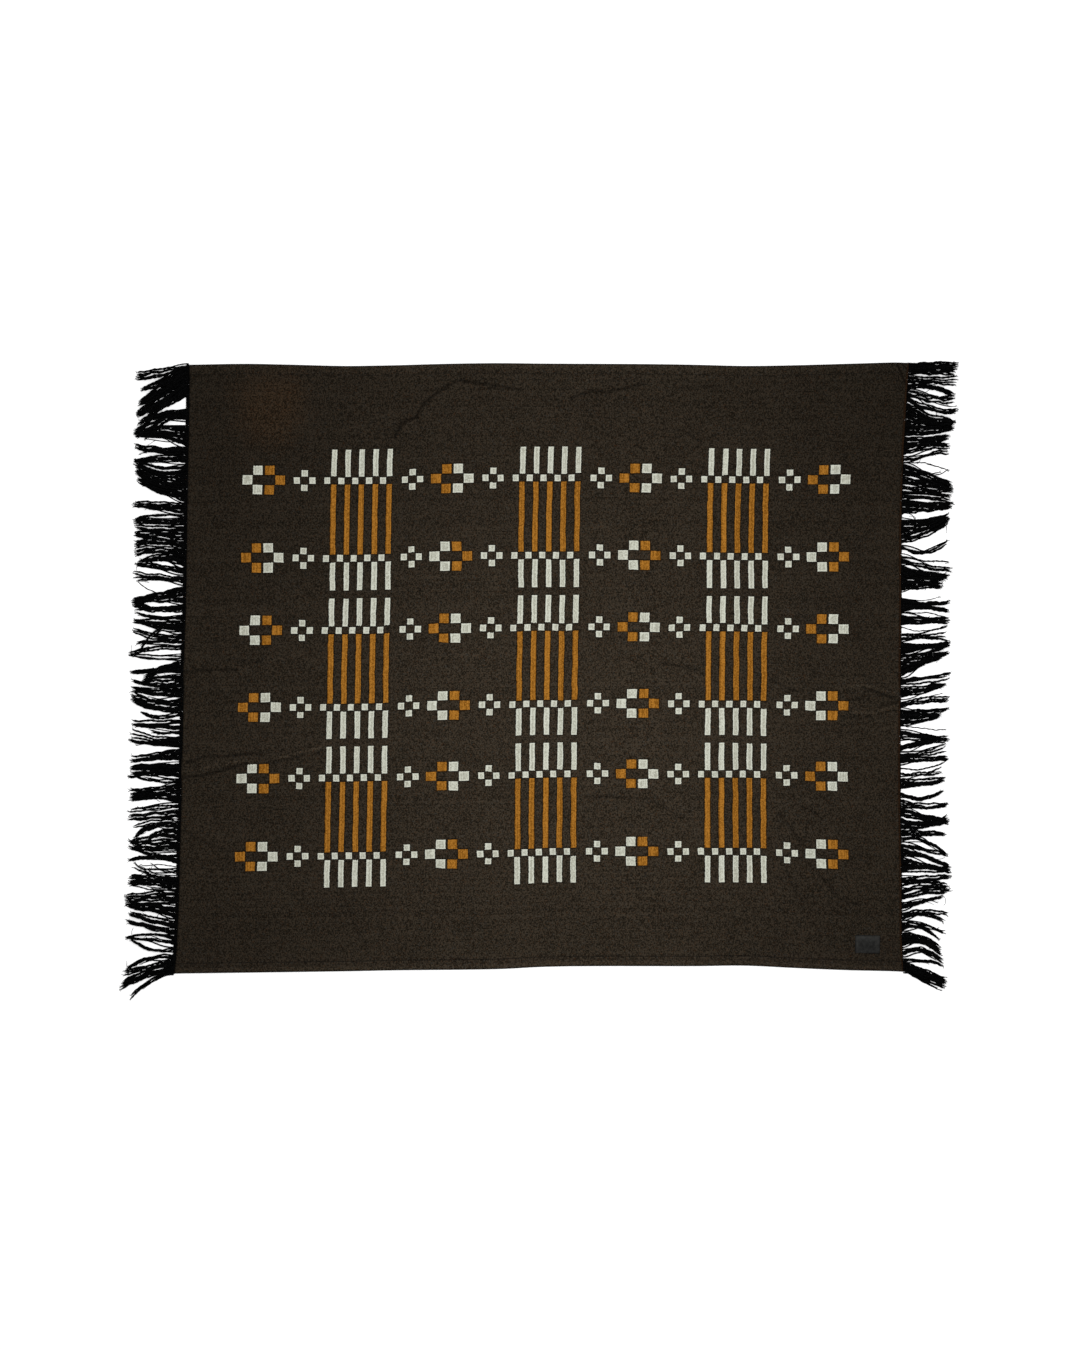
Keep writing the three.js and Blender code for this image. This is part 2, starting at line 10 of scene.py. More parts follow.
import bpy
import numpy as np
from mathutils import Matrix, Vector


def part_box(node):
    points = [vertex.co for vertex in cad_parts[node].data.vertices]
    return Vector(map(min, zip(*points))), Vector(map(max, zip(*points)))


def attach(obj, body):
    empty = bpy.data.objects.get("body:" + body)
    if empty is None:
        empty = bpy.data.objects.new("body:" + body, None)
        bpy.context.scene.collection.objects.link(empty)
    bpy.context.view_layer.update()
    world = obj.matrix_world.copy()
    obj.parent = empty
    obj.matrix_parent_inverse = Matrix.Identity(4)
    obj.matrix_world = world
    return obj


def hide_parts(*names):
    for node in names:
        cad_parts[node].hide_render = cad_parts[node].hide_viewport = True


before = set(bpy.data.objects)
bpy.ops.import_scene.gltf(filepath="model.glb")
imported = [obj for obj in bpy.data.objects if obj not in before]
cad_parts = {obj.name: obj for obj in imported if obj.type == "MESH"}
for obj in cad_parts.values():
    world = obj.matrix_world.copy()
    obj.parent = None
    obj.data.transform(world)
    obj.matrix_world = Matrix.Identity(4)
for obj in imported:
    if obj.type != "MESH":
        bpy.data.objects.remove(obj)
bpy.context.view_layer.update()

# Driving sizes
CLOTH_THICKNESS = 0.0024
HEM_THICKNESS = 0.0046
HEM_WIDTH = 0.021
FLAT_SIZE = (1.54, 1.30)
GRID_STEP = 0.008
UNDULATION = 0.0005
PUCKER = 0.0003
WAVE_COUNT = 7

# How much of the double hem's thickness is left at each distance from its rim
HEM_PROFILE = (
    (0, 1), (0.012, 1), (0.017, 0.98), (0.0195, 0.75), (0.021, 0.5), (0.0225, 0.3), (0.026, 0), (1, 0),
)

# Where the cloth's grid has extra rows beside the hemmed rims, and extra columns beside the fringed rims
HEM_ROWS = (0, 0.0003, 0.001, 0.0022, 0.006, 0.012, 0.017, 0.0195, 0.021, 0.0225, 0.026, 0.032)
FRINGE_COLUMNS = (0, 0.0003, 0.0007, 0.0013, 0.004, 0.009)

# The groove where the hem's lower layer ends on the underside
GROOVE_DEPTH = 0.0006
GROOVE_HALF = 0.0009

# The line of hem stitches, as a share of the way down the cloth, and the middle of the reddish lighter place
STITCH_LINE = 0.0166
BLOTCH_PLACE = (-0.573, 0.583)

# How far the cloth's rows bow up in the middle of the top hem, as a share of the way down
BOW = 0.0024

# Where the left bottom corner of the cloth lies in the tables below
TABLE_CORNER = (-0.785, -0.652)

# The cloth's edge lines, as rows of where along the edge and how far out
TOP_EDGE = (
    (-0.753, 0.649), (-0.634, 0.651), (-0.527, 0.649), (-0.42, 0.6465), (-0.313, 0.648), (-0.206, 0.651),
    (-0.099, 0.6525), (0.007, 0.6515), (0.221, 0.6505), (0.328, 0.649), (0.435, 0.6465), (0.542, 0.648),
    (0.649, 0.651), (0.756, 0.654), (0.784, 0.653),
)
BOTTOM_EDGE = (
    (-0.785, -0.652), (-0.634, -0.65), (-0.42, -0.647), (-0.313, -0.645), (-0.099, -0.6425),
    (0.007, -0.6375), (0.114, -0.636), (0.328, -0.636), (0.435, -0.635), (0.542, -0.64), (0.649, -0.6445),
    (0.756, -0.647), (0.772, -0.648),
)
LEFT_EDGE = (
    (0.649, -0.753), (0.51, -0.755), (0.36, -0.758), (0.168, -0.761), (0.04, -0.7645), (-0.067, -0.7665),
    (-0.281, -0.771), (-0.388, -0.774), (-0.538, -0.778), (-0.652, -0.785),
)
RIGHT_EDGE = (
    (0.653, 0.784), (0.606, 0.7805), (0.531, 0.776), (0.446, 0.7715), (0.318, 0.7675), (0.147, 0.767),
    (-0.025, 0.7655), (-0.281, 0.765), (-0.452, 0.7675), (-0.581, 0.7685), (-0.648, 0.772),
)

# Soft creases: a line from x1, y1 to x2, y2, its height, and how far it reaches to each side
Crease = namedtuple("Crease", "x1 y1 x2 y2 height reach")
CREASES = [Crease(*row) for row in (
    (-0.767, -0.214, -0.652, -0.202, 0.0065, 0.034), (-0.652, -0.202, -0.54, -0.188, 0.0045, 0.034),
    (-0.54, -0.18, -0.469, -0.161, 0.0035, 0.032), (-0.311, 0.493, -0.181, 0.613, 0.004, 0.038),
    (-0.181, 0.613, -0.061, 0.6, 0.0035, 0.036), (0.057, 0.583, 0.196, 0.605, 0.0035, 0.036),
    (0.296, 0.6, 0.405, 0.591, 0.003, 0.036), (-0.764, -0.005, -0.482, -0.005, 0.0035, 0.034),
    (-0.311, -0.003, -0.061, 0.007, 0.003, 0.034), (0.255, 0.007, 0.332, 0.003, 0.0025, 0.034),
    (-0.546, 0.123, -0.469, 0.144, 0.003, 0.034), (-0.311, 0.174, -0.217, 0.198, 0.003, 0.034),
    (-0.679, 0.317, -0.469, 0.347, 0.003, 0.036), (-0.752, -0.467, -0.662, -0.437, 0.0035, 0.034),
    (-0.722, -0.358, -0.672, -0.388, 0.003, 0.032), (-0.253, -0.288, -0.211, -0.341, 0.003, 0.034),
    (0.489, -0.027, 0.525, -0.044, 0.0025, 0.032), (0.642, -0.046, 0.758, -0.059, 0.0035, 0.028),
    (0.645, -0.1, 0.737, -0.105, 0.003, 0.028), (0.104, -0.268, 0.206, -0.273, 0.0035, 0.034),
    (0.206, -0.273, 0.303, -0.324, 0.0035, 0.034), (0.501, -0.275, 0.572, -0.311, 0.0035, 0.034),
    (0.516, -0.317, 0.555, -0.377, 0.003, 0.034), (0.518, -0.418, 0.542, -0.48, 0.003, 0.034),
    (0.591, -0.437, 0.632, -0.491, 0.0035, 0.034), (0.285, 0.51, 0.339, 0.486, 0.003, 0.034),
    (0.495, 0.317, 0.531, 0.343, 0.003, 0.034), (0.645, 0.427, 0.764, 0.427, 0.003, 0.034),
    (0.217, 0.56, 0.219, 0.12, 0.0018, 0.052), (0.219, 0.12, 0.214, -0.52, 0.0016, 0.052),
    (-0.388, 0.57, -0.386, 0.43, 0.0016, 0.05), (0.54, -0.5, 0.543, -0.59, 0.0016, 0.05),
)]

# Fine wrinkles in and beside the creases, painted as shade in troughs and as highlight on crests: how dark each
# is, below 0 for a lighter crest, and where it runs
Wrinkle = namedtuple("Wrinkle", "depth places")
WRINKLES = [Wrinkle(*row) for row in (
    (0.75, ((-0.758, -0.201), (-0.715, -0.188), (-0.598, -0.181))),
    (0.8, ((-0.764, -0.232), (-0.722, -0.228), (-0.63, -0.204))),
    (0.5, ((-0.583, -0.206), (-0.555, -0.196), (-0.508, -0.185))),
    (-0.5, ((-0.769, -0.223), (-0.662, -0.2), (-0.623, -0.198))),
    (-0.6, ((-0.561, -0.19), (-0.523, -0.18), (-0.469, -0.169))),
    (0.7, ((-0.764, -0.005), (-0.651, -0.002))), (0.4, ((-0.702, 0.027), (-0.645, 0.016), (-0.598, 0.016))),
    (0.95, ((-0.313, 0.495), (-0.297, 0.524), (-0.265, 0.54), (-0.249, 0.567), (-0.222, 0.591))),
    (0.8, ((-0.222, 0.591), (-0.201, 0.606), (-0.174, 0.615), (-0.131, 0.608), (-0.041, 0.595))),
    (0.7, ((0.063, 0.577), (0.106, 0.591), (0.143, 0.59), (0.218, 0.61))),
    (0.5, ((0.298, 0.602), (0.378, 0.602))), (0.5, ((0.293, 0.513), (0.341, 0.481))),
    (-0.4, ((0.111, 0.625), (0.058, 0.585))), (0.6, ((0.489, -0.024), (0.537, -0.048))),
    (0.8, ((0.692, -0.04), (0.724, -0.056), (0.756, -0.061))),
    (-0.5, ((0.66, -0.04), (0.686, -0.035), (0.724, -0.047), (0.756, -0.05))),
    (0.5, ((0.638, -0.102), (0.702, -0.103))),
    (-0.5, ((0.66, -0.091), (0.708, -0.095), (0.745, -0.084), (0.761, -0.077))),
    (0.7, ((0.724, -0.082), (0.761, -0.072))), (0.55, ((0.255, 0.014), (0.282, 0.007), (0.33, -0.002))),
    (0.5, ((0.104, -0.273), (0.232, -0.278), (0.301, -0.32))),
    (0.6, ((0.507, -0.309), (0.523, -0.33), (0.555, -0.373))),
    (0.5, ((0.592, -0.437), (0.635, -0.491), (0.678, -0.507))), (0.45, ((0.523, -0.432), (0.542, -0.485))),
    (0.4, ((0.544, -0.288), (0.592, -0.315))), (0.4, ((-0.775, -0.343), (-0.672, -0.39))),
    (0.35, ((-0.441, -0.444), (-0.371, -0.613))), (0.4, ((-0.273, -0.275), (-0.202, -0.345))),
)]

# How far a trough's painted shade and a crest's painted highlight fade out to each side, how strong they are,
# and how far they wander
TROUGH_HALF = 0.0068
CREST_HALF = 0.0052
TROUGH_SHADE = 0.62
CREST_HIGHLIGHT = 0.85
WRINKLE_WANDER = 0.009

# Narrow tucks pressed into the top side at the upper right corner, and how wide the painted shade along each
# looks
TUCKS = [Crease(*row) for row in (
    (0.758, 0.653, 0.781, 0.604, 0.001, 0.005), (0.771, 0.649, 0.784, 0.638, 0.001, 0.005),
)]
TUCK_SHADE_WIDTH = 0.0027

# Locks of yarn, measured down from the top corner: where the roots start and stop, where the lock's middle
# lies half way out and how wide it is there, where its tip lies and how wide it is, how far it reaches out
# from the cloth, and how much it swings down and then up on the way
Lock = namedtuple("Lock", "first last middle spread tip tip_width reach swing", defaults=(0,))
LEFT_LOCKS = [Lock(*row) for row in (
    (0.001, 0.012, 0.016, 0.015, 0.025, 0.016, 0.11), (0.008, 0.021, 0.036, 0.021, 0.052, 0.004, 0.098),
    (0.015, 0.032, 0.052, 0.027, 0.082, 0.008, 0.104), (0.028, 0.044, 0.07, 0.027, 0.105, 0.014, 0.109),
    (0.04, 0.052, 0.078, 0.016, 0.118, 0.01, 0.09), (0.047, 0.067, 0.088, 0.011, 0.102, 0.006, 0.106),
    (0.1, 0.11, 0.118, 0.012, 0.155, 0.012, 0.092), (0.096, 0.119, 0.11, 0.018, 0.134, 0.023, 0.11),
    (0.131, 0.153, 0.138, 0.014, 0.145, 0.008, 0.113), (0.151, 0.174, 0.15, 0.011, 0.15, 0.008, 0.108),
    (0.174, 0.182, 0.177, 0.004, 0.171, 0.002, 0.11), (0.183, 0.193, 0.186, 0.005, 0.179, 0.002, 0.108),
    (0.193, 0.211, 0.2, 0.014, 0.206, 0.005, 0.11), (0.214, 0.238, 0.228, 0.018, 0.208, 0.009, 0.111),
    (0.238, 0.266, 0.249, 0.018, 0.228, 0.012, 0.107), (0.266, 0.294, 0.27, 0.017, 0.248, 0.009, 0.102),
    (0.295, 0.307, 0.299, 0.009, 0.298, 0.009, 0.111), (0.307, 0.319, 0.306, 0.007, 0.299, 0.007, 0.108),
    (0.323, 0.328, 0.321, 0.004, 0.33, 0.003, 0.109), (0.328, 0.344, 0.335, 0.014, 0.332, 0.012, 0.109),
    (0.345, 0.358, 0.352, 0.012, 0.35, 0.013, 0.108), (0.361, 0.376, 0.367, 0.01, 0.364, 0.005, 0.108),
    (0.379, 0.397, 0.381, 0.012, 0.383, 0.013, 0.107), (0.397, 0.411, 0.396, 0.01, 0.402, 0.01, 0.106),
    (0.409, 0.432, 0.412, 0.012, 0.421, 0.004, 0.096), (0.437, 0.447, 0.431, 0.009, 0.427, 0.004, 0.105),
    (0.452, 0.459, 0.452, 0.005, 0.445, 0.004, 0.108), (0.459, 0.468, 0.458, 0.005, 0.458, 0.005, 0.107),
    (0.476, 0.478, 0.488, 0.002, 0.466, 0.002, 0.099), (0.472, 0.495, 0.493, 0.014, 0.503, 0.007, 0.11),
    (0.496, 0.51, 0.502, 0.008, 0.507, 0.005, 0.109), (0.51, 0.529, 0.523, 0.009, 0.515, 0.014, 0.109),
    (0.535, 0.541, 0.54, 0.004, 0.531, 0.003, 0.102), (0.541, 0.549, 0.546, 0.004, 0.548, 0.003, 0.107),
    (0.55, 0.568, 0.558, 0.011, 0.547, 0.004, 0.106), (0.577, 0.587, 0.581, 0.008, 0.568, 0.009, 0.107),
    (0.57, 0.574, 0.563, 0.004, 0.605, 0.003, 0.091), (0.59, 0.597, 0.592, 0.004, 0.594, 0.002, 0.099),
    (0.602, 0.611, 0.605, 0.007, 0.617, 0.004, 0.113), (0.62, 0.629, 0.624, 0.007, 0.62, 0.004, 0.112),
    (0.634, 0.639, 0.644, 0.009, 0.666, 0.004, 0.08), (0.64, 0.648, 0.649, 0.009, 0.674, 0.006, 0.082),
    (0.646, 0.66, 0.653, 0.01, 0.657, 0.004, 0.109), (0.663, 0.681, 0.673, 0.014, 0.675, 0.009, 0.082),
    (0.682, 0.689, 0.686, 0.005, 0.675, 0.003, 0.106), (0.69, 0.709, 0.7, 0.013, 0.692, 0.009, 0.109),
    (0.712, 0.727, 0.72, 0.01, 0.707, 0.015, 0.108), (0.728, 0.741, 0.734, 0.009, 0.717, 0.007, 0.105),
    (0.744, 0.748, 0.753, 0.004, 0.744, 0.002, 0.086), (0.758, 0.765, 0.764, 0.006, 0.764, 0.006, 0.104),
    (0.77, 0.781, 0.774, 0.007, 0.77, 0.004, 0.103), (0.784, 0.791, 0.787, 0.004, 0.785, 0.003, 0.064),
    (0.793, 0.804, 0.798, 0.009, 0.787, 0.016, 0.107), (0.806, 0.816, 0.811, 0.004, 0.803, 0.003, 0.109),
    (0.819, 0.827, 0.833, 0.005, 0.842, 0.009, 0.096), (0.825, 0.834, 0.837, 0.006, 0.842, 0.008, 0.107),
    (0.835, 0.846, 0.842, 0.007, 0.846, 0.005, 0.105), (0.852, 0.871, 0.86, 0.014, 0.861, 0.007, 0.105),
    (0.872, 0.883, 0.874, 0.011, 0.877, 0.01, 0.11), (0.886, 0.892, 0.89, 0.003, 0.88, 0.003, 0.094),
    (0.893, 0.903, 0.912, 0.012, 0.911, 0.008, 0.108), (0.904, 0.919, 0.914, 0.011, 0.923, 0.011, 0.105),
    (0.921, 0.935, 0.923, 0.008, 0.927, 0.01, 0.103), (0.939, 0.948, 0.946, 0.007, 0.954, 0.005, 0.109),
    (0.952, 0.968, 0.963, 0.011, 0.968, 0.009, 0.108), (0.974, 0.981, 0.977, 0.005, 0.987, 0.003, 0.095),
    (0.982, 0.993, 0.983, 0.009, 1.006, 0.007, 0.095), (0.994, 1.005, 0.997, 0.006, 1.017, 0.008, 0.07),
    (1.006, 1.017, 1.011, 0.009, 1.02, 0.006, 0.102), (1.018, 1.036, 1.029, 0.015, 1.026, 0.017, 0.106),
    (1.045, 1.051, 1.048, 0.006, 1.034, 0.004, 0.096), (1.054, 1.067, 1.052, 0.006, 1.058, 0.004, 0.105),
    (1.072, 1.075, 1.069, 0.002, 1.071, 0.002, 0.076), (1.078, 1.082, 1.077, 0.002, 1.078, 0.002, 0.076),
    (1.086, 1.09, 1.084, 0.002, 1.087, 0.002, 0.076), (1.094, 1.1, 1.094, 0.005, 1.069, 0.009, 0.095),
    (1.094, 1.106, 1.098, 0.011, 1.094, 0.006, 0.103), (1.106, 1.119, 1.106, 0.009, 1.108, 0.008, 0.104),
    (1.119, 1.123, 1.12, 0.003, 1.114, 0.002, 0.092), (1.126, 1.132, 1.129, 0.005, 1.136, 0.004, 0.109),
    (1.135, 1.152, 1.145, 0.017, 1.145, 0.016, 0.11), (1.158, 1.171, 1.159, 0.011, 1.153, 0.009, 0.107),
    (1.173, 1.183, 1.167, 0.006, 1.161, 0.004, 0.092), (1.188, 1.201, 1.187, 0.011, 1.173, 0.006, 0.099),
    (1.206, 1.219, 1.202, 0.01, 1.188, 0.005, 0.105), (1.22, 1.231, 1.217, 0.004, 1.224, 0.002, 0.106),
    (1.232, 1.241, 1.228, 0.004, 1.225, 0.002, 0.099), (1.243, 1.252, 1.25, 0.004, 1.228, 0.002, 0.095),
    (1.26, 1.271, 1.268, 0.004, 1.289, 0.004, 0.102), (1.271, 1.283, 1.289, 0.01, 1.299, 0.007, 0.107),
    (1.28, 1.295, 1.297, 0.011, 1.323, 0.01, 0.11), (1.289, 1.301, 1.305, 0.01, 1.329, 0.009, 0.112),
    (1.295, 1.302, 1.315, 0.006, 1.35, 0.005, 0.092),
)]
RIGHT_LOCKS = [Lock(*row) for row in (
    (0.001, 0.022, 0.011, 0.022, 0.012, 0.023, 0.1), (0.001, 0.022, 0.01, 0.021, 0.011, 0.023, 0.103),
    (0.028, 0.044, 0.038, 0.012, 0.039, 0.018, 0.104), (0.045, 0.055, 0.052, 0.007, 0.067, 0.005, 0.099),
    (0.056, 0.063, 0.071, 0.006, 0.074, 0.005, 0.1), (0.063, 0.07, 0.078, 0.005, 0.082, 0.004, 0.098),
    (0.071, 0.084, 0.099, 0.01, 0.103, 0.006, 0.107), (0.085, 0.103, 0.117, 0.009, 0.124, 0.006, 0.103),
    (0.103, 0.12, 0.126, 0.007, 0.129, 0.005, 0.103), (0.12, 0.139, 0.134, 0.011, 0.135, 0.005, 0.101),
    (0.139, 0.157, 0.148, 0.011, 0.142, 0.004, 0.101), (0.157, 0.168, 0.163, 0.007, 0.156, 0.004, 0.094),
    (0.168, 0.178, 0.173, 0.007, 0.161, 0.004, 0.093), (0.178, 0.188, 0.174, 0.005, 0.175, 0.004, 0.095),
    (0.188, 0.197, 0.183, 0.006, 0.18, 0.004, 0.097),
    (0.202, 0.21, 0.198, 0.005, 0.191, 0.007, 0.095, 0.003),
    (0.212, 0.215, 0.215, 0.002, 0.229, 0.002, 0.095), (0.215, 0.219, 0.24, 0.002, 0.229, 0.002, 0.095),
    (0.216, 0.227, 0.239, 0.007, 0.261, 0.008, 0.104), (0.227, 0.238, 0.248, 0.007, 0.268, 0.008, 0.105),
    (0.242, 0.258, 0.259, 0.01, 0.271, 0.006, 0.102), (0.261, 0.27, 0.27, 0.006, 0.275, 0.004, 0.105),
    (0.273, 0.279, 0.278, 0.004, 0.285, 0.004, 0.103), (0.284, 0.291, 0.289, 0.007, 0.297, 0.006, 0.11),
    (0.294, 0.308, 0.303, 0.011, 0.302, 0.008, 0.106), (0.308, 0.322, 0.312, 0.01, 0.307, 0.007, 0.103),
    (0.322, 0.325, 0.32, 0.002, 0.337, 0.002, 0.032), (0.334, 0.349, 0.339, 0.01, 0.326, 0.006, 0.1),
    (0.349, 0.365, 0.352, 0.009, 0.332, 0.005, 0.1), (0.365, 0.377, 0.361, 0.01, 0.339, 0.005, 0.1),
    (0.377, 0.386, 0.369, 0.007, 0.343, 0.004, 0.098), (0.391, 0.397, 0.405, 0.005, 0.383, 0.005, 0.099),
    (0.411, 0.416, 0.423, 0.003, 0.424, 0.002, 0.1), (0.418, 0.429, 0.435, 0.007, 0.442, 0.007, 0.106),
    (0.431, 0.443, 0.451, 0.007, 0.453, 0.005, 0.1), (0.443, 0.456, 0.458, 0.007, 0.459, 0.005, 0.098),
    (0.456, 0.471, 0.466, 0.008, 0.468, 0.007, 0.087), (0.471, 0.487, 0.476, 0.008, 0.478, 0.005, 0.085),
    (0.502, 0.52, 0.516, 0.007, 0.511, 0.004, 0.102), (0.52, 0.533, 0.522, 0.007, 0.531, 0.005, 0.101),
    (0.534, 0.536, 0.533, 0.002, 0.542, 0.002, 0.092), (0.538, 0.549, 0.548, 0.005, 0.547, 0.005, 0.102),
    (0.549, 0.561, 0.555, 0.005, 0.553, 0.004, 0.102), (0.563, 0.567, 0.571, 0.002, 0.563, 0.002, 0.095),
    (0.578, 0.584, 0.579, 0.005, 0.569, 0.011, 0.098), (0.586, 0.594, 0.587, 0.005, 0.59, 0.006, 0.101),
    (0.597, 0.61, 0.605, 0.006, 0.6, 0.005, 0.103), (0.61, 0.624, 0.609, 0.005, 0.605, 0.004, 0.102),
    (0.625, 0.631, 0.621, 0.004, 0.609, 0.003, 0.092), (0.636, 0.646, 0.631, 0.007, 0.62, 0.005, 0.102),
    (0.646, 0.658, 0.638, 0.007, 0.624, 0.004, 0.097), (0.658, 0.67, 0.644, 0.007, 0.629, 0.004, 0.086),
    (0.675, 0.679, 0.672, 0.004, 0.664, 0.003, 0.107), (0.679, 0.689, 0.677, 0.01, 0.67, 0.012, 0.102),
    (0.694, 0.705, 0.695, 0.006, 0.687, 0.004, 0.096), (0.705, 0.716, 0.702, 0.006, 0.691, 0.003, 0.09),
    (0.724, 0.737, 0.722, 0.011, 0.719, 0.009, 0.102), (0.74, 0.749, 0.746, 0.009, 0.739, 0.002, 0.102),
    (0.749, 0.762, 0.754, 0.009, 0.752, 0.004, 0.085), (0.762, 0.774, 0.763, 0.008, 0.757, 0.003, 0.08),
    (0.773, 0.775, 0.781, 0.002, 0.784, 0.002, 0.096), (0.785, 0.796, 0.798, 0.009, 0.804, 0.009, 0.102),
    (0.796, 0.805, 0.804, 0.006, 0.808, 0.005, 0.1), (0.817, 0.829, 0.813, 0.007, 0.807, 0.004, 0.08),
    (0.835, 0.847, 0.836, 0.009, 0.823, 0.015, 0.095), (0.838, 0.856, 0.846, 0.01, 0.845, 0.007, 0.1),
    (0.865, 0.868, 0.867, 0.003, 0.854, 0.003, 0.095), (0.875, 0.881, 0.878, 0.005, 0.872, 0.009, 0.086),
    (0.887, 0.898, 0.896, 0.007, 0.889, 0.004, 0.095), (0.898, 0.909, 0.901, 0.005, 0.894, 0.004, 0.092),
    (0.917, 0.927, 0.93, 0.004, 0.914, 0.004, 0.092), (0.932, 0.94, 0.945, 0.004, 0.942, 0.004, 0.1),
    (0.94, 0.949, 0.95, 0.005, 0.945, 0.004, 0.098), (0.95, 0.96, 0.969, 0.006, 0.977, 0.006, 0.101),
    (0.96, 0.97, 0.976, 0.005, 0.982, 0.005, 0.102), (0.972, 0.985, 0.985, 0.005, 0.972, 0.004, 0.098),
    (0.985, 0.997, 0.991, 0.005, 0.98, 0.004, 0.097), (0.997, 1.012, 1.004, 0.009, 1.007, 0.005, 0.095),
    (1.013, 1.022, 1.022, 0.007, 1.049, 0.004, 0.097), (1.027, 1.033, 1.04, 0.004, 1.051, 0.004, 0.099),
    (1.036, 1.046, 1.053, 0.005, 1.074, 0.004, 0.101), (1.046, 1.052, 1.057, 0.004, 1.079, 0.004, 0.103),
    (1.055, 1.071, 1.075, 0.009, 1.085, 0.006, 0.105), (1.073, 1.088, 1.082, 0.011, 1.082, 0.007, 0.104),
    (1.099, 1.11, 1.102, 0.009, 1.098, 0.005, 0.104), (1.113, 1.12, 1.11, 0.005, 1.116, 0.005, 0.098),
    (1.124, 1.135, 1.12, 0.008, 1.12, 0.004, 0.096), (1.137, 1.147, 1.132, 0.007, 1.129, 0.005, 0.104),
    (1.156, 1.168, 1.152, 0.004, 1.14, 0.002, 0.087), (1.174, 1.182, 1.171, 0.006, 1.178, 0.004, 0.098),
    (1.182, 1.19, 1.176, 0.005, 1.192, 0.004, 0.089), (1.195, 1.199, 1.2, 0.004, 1.217, 0.002, 0.091),
    (1.201, 1.214, 1.206, 0.003, 1.229, 0.002, 0.079), (1.217, 1.23, 1.229, 0.009, 1.249, 0.009, 0.081),
    (1.23, 1.247, 1.236, 0.007, 1.262, 0.007, 0.083), (1.256, 1.266, 1.254, 0.007, 1.278, 0.008, 0.085),
    (1.275, 1.281, 1.279, 0.004, 1.287, 0.002, 0.086), (1.278, 1.29, 1.302, 0.012, 1.319, 0.01, 0.091),
    (1.289, 1.301, 1.314, 0.01, 1.329, 0.009, 0.087), (1.282, 1.298, 1.308, 0.016, 1.324, 0.014, 0.089),
    (1.296, 1.301, 1.321, 0.002, 1.34, 0.002, 0.08),
)]

# Yarns in a lock: how far apart they lie, their radii, and how much wider than its row a lock is
YARN_PITCH = 0.0037
YARN_RADIUS = 0.0024
THIN_RADIUS = 0.001
LOOSENESS = 0.004

# How uneven a yarn is: its swellings, the waves it shares with its lock, its own waves and its fine crinkles,
# how much shorter than its lock it may be, how far it bows aside, and how calm and close it is at its root
KNOBS = 0.13
KNOB_LENGTHS = (0.009, 0.014)
WAVE_LENGTHS = (0.03, 0.06)
WAVE_HEIGHTS = (0.0004, 0.0012)
OWN_LENGTHS = (0.03, 0.07)
OWN_HEIGHTS = (0.0002, 0.0009)
CRINKLE_LENGTHS = (0.011, 0.02)
CRINKLE_HEIGHTS = (0.0002, 0.0006)
TRIM = 0.035
TRIM_MOST = 0.15
YARN_BOW = 0.0012
CALM_ROOT = 0.02
LEAST_ROOM = 0.0004

# Thinner yarns rooted beside a lock: the least width of a lock that has them, their chance at each side, how far
# beside it they start, which share of its reach they have, how soon they join it, their bows and their radii
FEEDER_LEAST = 0.004
FEEDER_SHARE = 0.75
FEEDER_ASIDE = (0.0005, 0.004)
FEEDER_REACH = (0.55, 0.97)
FEEDER_LAG = (0.3, 0.75)
FEEDER_BOW = 0.0015
FEEDER_RADII = (0.0011, 0.0018)

# How finely yarns are drawn, and how their two plies twist
YARN_STEPS = 28
YARN_SIDES = 6
FEEDER_STEPS = 20
FEEDER_SIDES = 5
PLY_TURN = 0.019
PLY_DEPTH = 0.12

# How far from the cloth a yarn starts, and a lock starts to gather
ROOT_START = 0.001
LOCK_START = 0.004

# Splayed ends on each yarn
FRAYS = 3
FRAY_STEPS = 2
FRAY_SIDES = 3
FRAY_LENGTHS = (0.003, 0.008)
FRAY_RADII = (0.0008, 0.0004)

# Single yarns in each fringe that stray from their lock, and fine hairs that curl out of it
STRAYS = 12
STRAY_REACH = (0.75, 0.98)
STRAY_LEAN = (0.006, 0.016)
STRAY_BOW = 0.004
STRAY_RADII = (0.001, 0.0017)
HAIRS = 46
HAIR_STEPS = 8
HAIR_LENGTHS = (0.008, 0.026)
HAIR_HEIGHTS = (0.004, 0.0008)
HAIR_RADII = (0.0006, 0.0004)

# The cells that remember how high yarns lie, and how much of that height the next yarn takes on
PILE_CELL = 0.001
SINK = 0.6

# Knots that hold the yarns on the cloth's edge, and the brown threads that show between some of them
KNOT_PITCH = 0.0072
KNOT_RADIUS = 0.002
KNOT_SPREAD = 0.00185
LOOP_RADIUS = 0.0008
LOOPS_MISSING = 0.3

# Hem stitches
STITCH_PITCH = 0.0055
STITCH_LENGTH = 0.0042
STITCH_RADIUS = 0.00035

# The sewn patch
PATCH_TURN = -0.028
PATCH_LENGTH = 0.0535
PATCH_WIDTH = 0.039
PATCH_CORNER = 0.003
CORNER_STEPS = 6
PATCH_RIM = 0.0011
PATCH_MIDDLE = 0.0015
PATCH_GAP = 0.0001
PATCH_SEAM = 0.0027
PATCH_STITCH_PITCH = 0.0034
PATCH_STITCH_RADIUS = 0.0003

# The chart of the woven pattern, in woven units
UNIT_COUNT = 101.2
CHART_MIDDLE = 0.5037
CHART_ROWS = ((0.1893, 4.5), (0.3172, 15.5), (0.4368, 25.5), (0.5635, 36.5), (0.6805, 46.5), (0.8092, 57.5))
UNITS_DOWN = 86.1
COLUMN_PERIOD = 26.7
BAND_PERIOD = 21
BAR_PITCH = 1.965
BAR_HALF = 0.37
CHECK_HALF = 0.415
CHECK_TALL = 0.45
PICKS_PER_UNIT = 5
ENDS_PER_UNIT = 7

